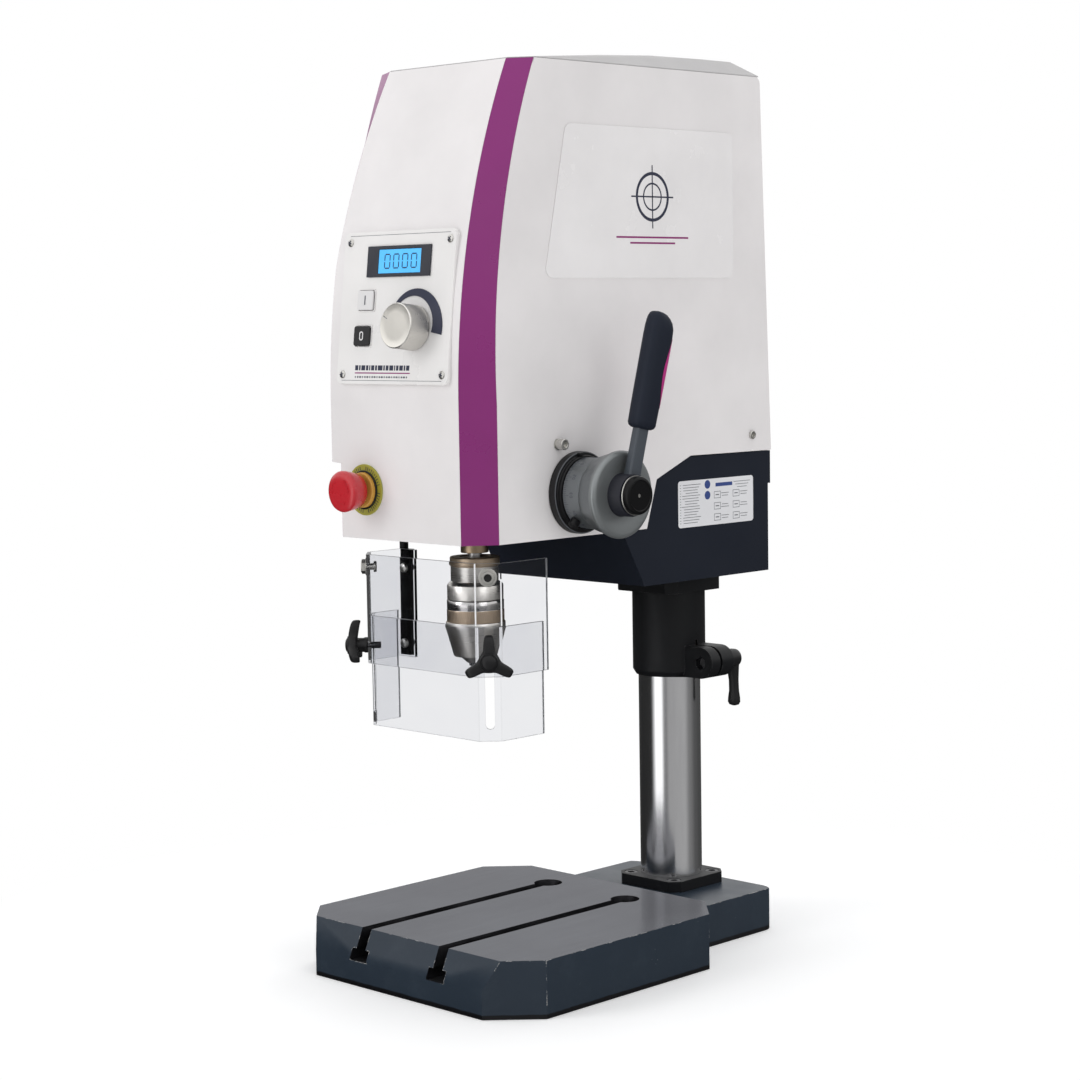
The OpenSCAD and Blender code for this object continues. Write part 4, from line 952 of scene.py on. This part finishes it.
def make_label():
    """Blank rating plate: a white foil with ruled boxes, grey bars and two discs, no lettering."""
    low, high = (0.0686, 0.397), (0.1756, 0.440)
    w, h = high[0] - low[0], high[1] - low[1]
    place = aim((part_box("head_casting")[1].x, (low[0] + high[0]) / 2, (low[1] + high[1]) / 2), (1, 0, 0),
                (0, 1, 0))
    bm = bmesh.new()
    prism(bm, rounded_box(w, h, 3 * MM), place, 0, 0.25 * MM)
    finish_mesh("rating_plate", bm, "head", "label_white", "panel_silver", bevel=0.08 * MM)
    bm = bmesh.new()
    for row in range(15):
        block(bm, place, (-34.5 - row % 3, 17.5 - 2.5 * row), ((25 - 2.6 * (row % 4)), 0.55, 0.05), 0.25)
        block(bm, place, (-50.4, 17.5 - 2.5 * row), (1.4, 0.55, 0.05), 0.25)
    for row in range(3):
        for column in range(2):
            for line in range(2):
                block(bm, place, (12.5 + 27 * column, 7.4 - 10.4 * row - 2.4 * line),
                      ((11 - 2 * ((row + line) % 2)), 0.55, 0.05), 0.25)
            cx, cy = 1.5 + 27 * column, 6.2 - 10.4 * row
            for dx, dy, bw, bh in ((0, 3, 9, 0.5), (0, -3, 9, 0.5), (-4.5, 0, 0.5, 6.5), (4.5, 0, 0.5, 6.5),
                                   (0, 0, 5, 1)):
                block(bm, place, (cx + dx, cy + dy), (bw, bh, 0.05), 0.25)
    for line in range(3):
        block(bm, place, (37, 17 - 2.6 * line), (24 - 5 * line, 0.55, 0.05), 0.25)
    finish_mesh("rating_plate_print", bm, "head", "ink_grey", "panel_silver")
    bm = bmesh.new()
    for cy in (16.5, 6.5):
        revolve(bm, ((4.0, 0.25), (4.0, 0.31), (0, 0.31)),
                place @ Matrix.Translation((-12.5 * MM, cy * MM, 0)), 32)
    block(bm, place, (11, 15.5), (24, 3.4, 0.06), 0.25)
    finish_mesh("rating_plate_marks", bm, "head", "badge_blue", "panel_silver")


# ---------------------------------------------------------------- feed


FEED = Vector((0, -0.067, 0.439))
LEVER = (Matrix.Translation((0.157, FEED.y, FEED.z)) @ Matrix.Rotation(math.radians(-12), 4, "X")
         @ Matrix.Rotation(math.radians(4), 4, "Y"))
SEGMENTS = {0: "abcdef", 1: "bc", 2: "abged", 3: "abgcd", 4: "fgbc", 5: "afgcd", 6: "afgedc", 7: "abc",
            8: "abcdefg", 9: "abcdfg"}


def digit(bm, place, number, size, bar, thick):
    """A figure from straight strokes, centred on place."""
    w, h = size
    strokes = dict(a=(0, h / 2, 1), g=(0, 0, 1), d=(0, -h / 2, 1), b=(w / 2, h / 4, 0), c=(w / 2, -h / 4, 0),
                   f=(-w / 2, h / 4, 0), e=(-w / 2, -h / 4, 0))
    for key in SEGMENTS[number]:
        x, y, flat = strokes[key]
        block(bm, place, (x, y), (w - bar, bar, thick) if flat else (bar, h / 2 - bar * 0.6, thick))


def turned(name, axis_place, profile, body, material, slot, replaces=(), steps=128, wave=None, sort=None,
           sharp=32):
    bm = bmesh.new()
    revolve(bm, profile, axis_place, steps, wave)
    return finish_mesh(name, bm, body, material, slot, replaces, sharp=sharp, sort=sort)


def make_feed():
    axis = aim(FEED, (1, 0, 0), (0, 0, 1))
    turned("stop_flange_turned", axis, [(10.1, 96), (35.2, 96), (36, 96.8), (36, 103.0), (35.2, 104),
                                        (33.2, 104), (32.6, 104.6), (32.6, 107), (32, 107.6), (10.1, 107.6),
                                        (10.1, 96)],
           "head", "black_plastic", "black_plastic", ["stop_flange"])
    turned("stop_flange_rim", axis, [(35.6, 103.4), (35.9, 103.6), (35.5, 104.1), (34.9, 104.15),
                                     (35.6, 103.4)],
           "head", "motor_grey", "black_plastic")
    bm = bmesh.new()
    finger = axis @ Matrix.Rotation(math.radians(8), 4, "Z")
    block(bm, finger, (34.3, 0), (2.6, 5, 9), 99)
    finish_mesh("depth_pointer", bm, "head", "black_plastic", "black_plastic", bevel=0.5 * MM)
    turned("depth_ring_turned", axis, [(20.1, 108), (30.3, 108), (31, 108.7), (31, 124.8), (31.4, 125.2),
                                       (31.4, 127), (30.8, 127.6), (20.1, 127.6), (20.1, 108)],
           "depth_ring", "hub_alloy", "hub_alloy", ["depth_ring"])
    bm = bmesh.new()
    for k in range(120):
        mark = axis @ Matrix.Rotation(2 * math.pi * k / 120, 4, "Z") @ aim((31 * MM, 0, 109 * MM), (1, 0, 0),
                                                                           (0, 0, 1))
        long = 6.4 if k % 10 == 0 else (4.8 if k % 5 == 0 else 3.2)
        block(bm, mark, (long / 2, 0), (long, 0.26, 0.07), -0.02)
        if k % 10 == 0:
            for place, number in enumerate(divmod(k, 100) if k >= 100 else (k // 10, 0)):
                spot = mark @ Matrix.Translation((9.4 * MM, (1.5 - 2.6 * place) * MM, -0.02 * MM)) \
                    @ Matrix.Rotation(math.radians(90), 4, "Z")
                digit(bm, spot, number % 10, (1.5, 2.8), 0.32, 0.07)
    finish_mesh("depth_ring_scale", bm, "depth_ring", "ink", "hub_alloy")
    hub = [(10.1, 128), (31.6, 128), (32.4, 128.6), (33.2, 130.2), (35.0, 137.5), (36.4, 142.2), (37.5, 145),
           (38, 147), (38, 148.4), (37.4, 149.9), (36.0, 151), (33.5, 151.2), (27, 150.0), (18.9, 149.6),
           (18.5, 150.2), (18.5, 161.8), (17.6, 163), (10.1, 163), (10.1, 128)]

    def zone(centre, normal):
        reach = math.hypot(centre.y + 67, centre.z - 439)
        return 1 if centre.x > 145.6 and reach > 18.7 else (2 if centre.x > 149 else 0)

    turned("feed_hub_turned", axis, hub, "feed", ["hub_alloy", "hub_front", "boss_navy"], "hub_alloy",
           ["feed_hub"], sort=zone, sharp=40)
    cap = [(0, 163.2), (14.8, 163.2), (15, 165.0), (16.2, 165.0), (16.5, 165.4), (16.5, 169.2), (16.0, 170.2),
           (14.6, 170.8), (13.4, 170.9), (12.8, 170.3), (4, 170.1), (2.0, 170.1), (1.6, 169.4), (0, 169.4)]
    turned("hub_cap_turned", axis, cap, "feed", ["cap_black", "screw_zinc"], "black_plastic", ["hub_cap"],
           sort=lambda c, n: 1 if math.hypot(c.y + 67, c.z - 439) < 1.5 else 0)
    turned("hub_cap_ring", axis, [(16.2, 164.2), (17.0, 164.2), (17.2, 164.6), (17.0, 165.3), (16.2, 165.3),
                                  (16.2, 164.2)], "feed", "screw_zinc", "black_plastic")
    bm = bmesh.new()
    widths = ((9, 8.6, 15.5), (14, 8.4, 14.6), (30, 8, 14), (66, 8, 13.6), (96, 7.6, 13))
    loft(bm, [[(x, y, h * MM) for x, y in rounded_box(w * MM, d * MM, 1.8 * MM, 5)] for h, w, d in widths],
         LEVER)
    finish_mesh("feed_arm_bar", bm, "feed", "arm_paint", "arm_paint", ["feed_arm"], sharp=50)
    make_grip()
    softened("depth_knob", bevel=0.7, segments=3)
    softened("spring_housing", bevel=1.8, segments=4)


# Half depth towards the rear, half depth towards the front, half width, at heights up the lever
GRIP = ((57.6, 6.0, 6.0, 5.0), (58.2, 9.6, 9.4, 7.2), (59.6, 11.8, 11.6, 8.9), (62, 12.8, 12.6, 9.7),
        (80, 13.1, 12.9, 9.9), (100, 13.3, 13.0, 10.0), (120, 13.5, 13.1, 10.0), (138, 13.6, 13.2, 10.0),
        (146, 13.0, 13.0, 9.8), (151, 10.8, 12.6, 9.2), (154.5, 7.4, 12.0, 8.3), (157.2, 3.0, 10.8, 6.9),
        (158.4, -1.6, 9.2, 5.2), (158.9, -4.0, 7.6, 3.0))


def grip_section(at, grow=0.0, steps=64, arc=None):
    """Points of the grip's section, a soft rounded rectangle. arc keeps only that part of the turn."""
    for low, high in zip(GRIP, GRIP[1:]):
        if at <= high[0]:
            break
    t = max(0.0, min(1.0, (at - low[0]) / (high[0] - low[0])))
    rear, front, half = (low[k] + t * (high[k] - low[k]) for k in (1, 2, 3))
    middle, reach = (rear - front) / 2, (rear + front) / 2
    angles = [2 * math.pi * k / steps for k in range(steps)] if arc is None else \
        [arc[0] + (arc[1] - arc[0]) * k / steps for k in range(steps + 1)]
    power = 2 / 2.7
    points = []
    for a in angles:
        c, s = math.cos(a), math.sin(a)
        points.append(((half + grow) * math.copysign(abs(c) ** power, c) * MM,
                       (middle + (reach + grow) * math.copysign(abs(s) ** power, s)) * MM, at * MM))
    return points


def make_grip():
    """Soft handle with an oblique end, and the coloured spine let into its rear edge."""
    bm = bmesh.new()
    stops = [GRIP[0][0]]
    for low, high in zip(GRIP, GRIP[1:]):
        count = max(1, round((high[0] - low[0]) / 2.5))
        stops += [low[0] + (high[0] - low[0]) * (k + 1) / count for k in range(count)]
    loft(bm, [grip_section(at) for at in stops], LEVER)
    finish_mesh("feed_grip_moulded", bm, "feed", "grip_rubber", "grip_rubber", ["feed_grip"], sharp=70)
    bm = bmesh.new()
    rows = []
    low, high, steps = 76.0, 140.0, 26
    for k in range(steps + 1):
        at = low + (high - low) * k / steps
        wide = math.sin(math.pi * (0.03 + 0.94 * k / steps)) ** 0.45
        half_arc = math.radians(76) * wide
        arc = (math.pi / 2 - half_arc, math.pi / 2 + half_arc)
        rows.append([grip_section(at, 0.25, 20, arc), grip_section(at, -0.8, 20, arc)])
    loft(bm, [outer + inner[::-1] for outer, inner in rows], LEVER)
    finish_mesh("grip_spine", bm, "feed", "insert_magenta", "insert_magenta", ["grip_insert"], sharp=40)


# ---------------------------------------------------------------- base, column and casting


SLOT_X, SLOT_END = 50, 38


def make_base():
    def zone(centre, normal):
        """Ground top, bare slots, or paint."""
        x, y, z = centre
        if normal.z > 0.95 and z > 50.2:
            return 1
        aside = abs(x) - SLOT_X
        in_slot = abs(aside) < 11.1 and -204 < y < SLOT_END and z > 22.5
        in_round_end = math.hypot(aside, y - SLOT_END) < 13.7 and z > 22
        return 2 if in_slot or in_round_end else 0

    softened("base_casting", ["painted_base", "table_ground", "slot_steel"], bevel=0.9, segments=3, sort=zone)
    column = aim((0, 0.160, 0), (0, 0, 1), (1, 0, 0))
    turned("column_turned", column, [(25, 38), (30, 38), (30, 60), (30, 120), (30, 200), (30, 300), (30, 429),
                                     (29, 430), (25, 430), (25, 38)],
           "base", "polished_steel", "polished_steel",
           ["column_tube"], steps=192)
    softened("foot_flange", bevel=0.9, segments=3)
    softened("foot_bolts", bevel=0.35)
    softened("column_sleeve", bevel=1.0, segments=3)
    softened("head_casting", bevel=1.4, segments=3)
    softened("top_lid", bevel=1.6, segments=3)
    softened("rear_cover", bevel=0.5)
    softened("cable_gland", bevel=0.5)


def make_clamp():
    """Adjustable clamping lever on the sleeve's ear."""
    softened("clamp_screw", bevel=0.4)
    x, z, y0 = 0.052, 0.260, 0.1824
    bm = bmesh.new()
    hub = aim((x, y0, z), (0, 1, 0), (1, 0, 0))
    revolve(bm, ((4.1, 0), (8.6, 0), (9.4, 0.8), (9.5, 4), (9.1, 11), (8.4, 15), (6.8, 16.6), (5.2, 17.0),
                 (4.6, 16.2), (0, 16.2)), hub, 48)
    path = [(0, 7.5, 6), (0, 9.5, 2), (0, 11, -4), (0, 12, -12), (0, 12.8, -22), (0, 13.2, -32),
            (0, 13.2, -39), (0, 13.1, -43), (0, 13, -45.6), (0, 13, -46.6)]
    radii = [(3.0, 4.0), (6.2, 7.2), (6.4, 7.0), (5.4, 5.8), (4.4, 5.0), (4.3, 5.2), (5.3, 6.2), (5.5, 6.4),
             (4.2, 5.0), (1.6, 2.0)]
    swept(bm, [(x + a * MM, y0 + b * MM, z + c * MM) for a, b, c in path], in_mm(radii), 32)
    finish_mesh("clamp_lever_moulded", bm, "clamp_lever", "black_plastic", "black_plastic", ["clamp_lever"],
                sharp=38)
    turned("clamp_screw_cap", hub, [(0, 16.0), (4.4, 16.0), (4.4, 16.9), (3.9, 17.3), (0, 17.3)],
           "clamp_lever", "bolt_steel", "black_plastic", steps=48)


# ---------------------------------------------------------------- chuck and spindle

SPINDLE = aim((0, -0.100, 0), (0, 0, 1), (1, 0, 0))


def make_chuck():
    def banded(*bands):
        """Material index by height: the first band whose top lies above the face."""
        def pick(centre, normal):
            for index, top in bands:
                if centre.z < top:
                    return index
            return bands[-1][0]
        return pick

    body = [(0, 284.6), (6.6, 284.6), (7.4, 285.2), (14.4, 291.4), (18.4, 297), (18.4, 342), (24.2, 342),
            (24.5, 342.4), (24.5, 354.6), (24.2, 355.2), (21.6, 357.9), (20.9, 358.4), (20.9, 358.9),
            (21.1, 359.3), (21.1, 371.6), (20.8, 371.8), (20.8, 372.2), (21.6, 372.4), (22.3, 372.8),
            (22.4, 374.4), (22.4, 379.2), (21.8, 380), (14, 380), (13.6, 379.2), (7, 379.2), (0, 379.2)]
    turned("chuck_body_turned", SPINDLE, body, "spindle", ["chuck_steel", "chuck_warm"], "chuck_steel",
           ["chuck_body"], sort=banded((0, 372.0), (1, 381)), sharp=34)
    ridges = 84

    def knurl(angle, height):
        return -0.00018 * (0.5 + 0.5 * math.cos(ridges * angle)) if 0.3230 < height < 0.3325 else 0.0

    sleeve = [(18.6, 296), (17.4, 291.2), (18.2, 290.9), (18.9, 291.7), (25.4, 315.4), (26, 316.8),
              (26, 321.4), (25.7, 321.9), (25.0, 322.1), (25.0, 322.9), (25.1, 323.1), (25.1, 332.4),
              (25.0, 332.6), (24.7, 333.0), (24.7, 333.4), (24.9, 333.8), (24.9, 340.9), (24.5, 341.5),
              (18.6, 341.5), (18.6, 296)]
    turned("chuck_sleeve_turned", SPINDLE, sleeve, "chuck_sleeve",
           ["chuck_steel", "chuck_warm", "chuck_band"], "chuck_steel", ["chuck_sleeve"], steps=504,
           wave=knurl, sort=banded((0, 322.0), (1, 332.8), (2, 342)), sharp=50)
    # Chuck key hole: a shallow dimple whose centre is painted near-black, painted shade standing in for the
    # hole's depth
    hole = aim((0, -0.1245, 0.3485), (0, -1, 0), (1, 0, 0))
    turned("chuck_key_hole", hole, [(2.6, -0.6), (2.6, 0.05), (2.2, 0.12), (1.9, -0.1), (0, -0.3)], "spindle",
           ["chuck_steel", "dark_hole"], "chuck_steel", steps=32,
           sort=lambda c, n: 1 if math.hypot(c.x, c.z - 348.5) < 1.7 else 0)
    for k in (1, 2, 3):
        softened("jaw_%d" % k, bevel=0.3)
    softened("spindle", ["ground_steel", "nut_gold"], bevel=0.6, segments=3,
             sort=lambda c, n: 1 if 383 < c.z < 392 and math.hypot(c.x, c.y + 100) > 8.2 else 0)
    softened("quill", bevel=0.3)


# ---------------------------------------------------------------- guard


GUARD_CORNER = (0.0777, -0.1597)
NUT_Z, KNOB_Z = 0.371, 0.300
HINGE_X, HINGE_SCREWS_Z = -0.077, (0.297, 0.366)


def bevel_place(side, z):
    """Plane of the guard's corner bevel at height z, with local +Z pointing outwards."""
    return aim((side * GUARD_CORNER[0], GUARD_CORNER[1], z), (side, -1, 0), (0, 0, 1))


def cut_edge(centre, normal):
    """1 on the sheets' frosted cut edges: the level ones, and the rear ends of the side walls."""
    at_rear_end = abs(normal.y) > 0.9 and centre.y > -122 and abs(centre.x) > 79
    return 1 if abs(normal.z) > 0.6 or at_rear_end else 0


def make_guard():
    for node in ("guard_shield", "lower_guard"):
        softened(node, ["clear_guard", "guard_edge"], bevel=None, sharp=20, flat=True, sort=cut_edge)
    softened("guard_rod", "cap_black", bevel=0.5)
    bm = bmesh.new()
    dark = bmesh.new()
    for side in (-1, 1):
        place = bevel_place(side, NUT_Z)
        revolve(bm, ((2.8, 0.02), (7.8, 0.02), (8.0, 0.2), (8.0, 1.0), (7.6, 1.25), (2.8, 1.25)), place, 48)
        prism(bm, hexagon(6.7), place, 1.2 * MM, 4.6 * MM)
        revolve(bm, ((5.7, 4.5), (5.3, 5.2), (3.6, 5.3), (3.3, 4.9)), place, 48)
        # Near-black disc across each nut's bore: painted shade standing in for the hole's depth
        revolve(dark, ((3.45, 4.9), (2.9, 4.75), (0, 4.7)), place, 48)
        inner = place @ Matrix.Translation((0, 0, -9.3 * MM))
        revolve(bm, ((0, 0), (4.6, 0), (5.0, 0.4), (5.0, 2.4), (3, 2.4), (3, 9.3)), inner, 40)
    for z in HINGE_SCREWS_Z:
        head = aim((HINGE_X, -0.114, z), (0, -1, 0), (1, 0, 0))
        revolve(bm, ((4.5, -0.05), (4.5, 1.2), (3.9, 2.4), (2.4, 3.0), (0, 3.1)), head, 40)
        nut = aim((HINGE_X, -0.1068, z), (0, 1, 0), (1, 0, 0))
        prism(bm, hexagon(4.2), nut, 0, 2.6 * MM)
    finish_mesh("guard_fasteners", bm, "guard", "screw_zinc", "polished_steel", ["guard_screws"],
                bevel=0.12 * MM)
    finish_mesh("guard_screw_ends", dark, "guard", "dark_hole", "polished_steel")
    for side, name in ((-1, "left"), (1, "right")):
        star_knob(side, "guard_knob_" + name)


def star_knob(side, node):
    """Three-armed hand knob with swept-back arms and a domed centre."""
    place = bevel_place(side, KNOB_Z)
    bm = bmesh.new()
    steps = 120

    def outline(scale, height):
        ring = []
        for k in range(steps):
            a = 2 * math.pi * k / steps
            t = (a + math.pi / 3) % (2 * math.pi / 3) - math.pi / 3
            arm = ((math.cos(t) / 22.6) ** 5 + (abs(math.sin(t)) / 4.7) ** 5) ** -0.2
            r = (9.2 ** 5 + arm ** 5) ** 0.2 - (1 - scale) * 9
            ring.append((r * math.cos(a) * MM, r * math.sin(a) * MM, (height - 0.0075 * r * r) * MM))
        return ring

    loft(bm,
         [outline(*level) for level in ((0.62, 10.4), (0.86, 10.5), (0.96, 11.2), (1.0, 12.6), (1.0, 15.4),
                                        (0.96, 17.0), (0.86, 18.0), (0.7, 18.5), (0.4, 18.7))], place)
    dome = [(8.4, 16.4), (8.2, 18.2), (7.8, 19.0), (7.4, 19.1), (7.0, 18.7), (6.6, 18.8), (6.2, 19.6),
            (4.6, 20.6), (2.4, 21.1), (0, 21.2)]
    revolve(bm, dome, place, 64)
    neck = [(0, 0.4), (6.4, 0.4), (7.0, 0.9), (7.0, 3.4), (6.4, 4.2), (6.4, 10), (7.6, 12)]
    revolve(bm, neck, place, 64)
    finish_mesh(node + "_moulded", bm, node, "black_plastic", "black_plastic", [node], sharp=48)
    turned(node + "_stud", place, [(0, -12.6), (2.6, -12.6), (3, -12.2), (3, 0.6), (0, 0.6)], node,
           "bolt_steel", "black_plastic", steps=32)


# ---------------------------------------------------------------- build everything

M = make_materials()
set_camera()
set_studio()
make_base()
make_clamp()
make_covers()
make_panel()
make_buttons()
make_speed_knob()
make_estop()
make_screws()
make_badge()
make_label()
make_feed()
make_chuck()
make_guard()

DONE = {n for o in bpy.data.objects for n in o.get("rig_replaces", [])}
for node, thing in NODES.items():
    if node not in DONE:
        thing.data.materials.clear()
        thing.data.materials.append(M.get(SLOTS[node]) or M["ground_steel"])
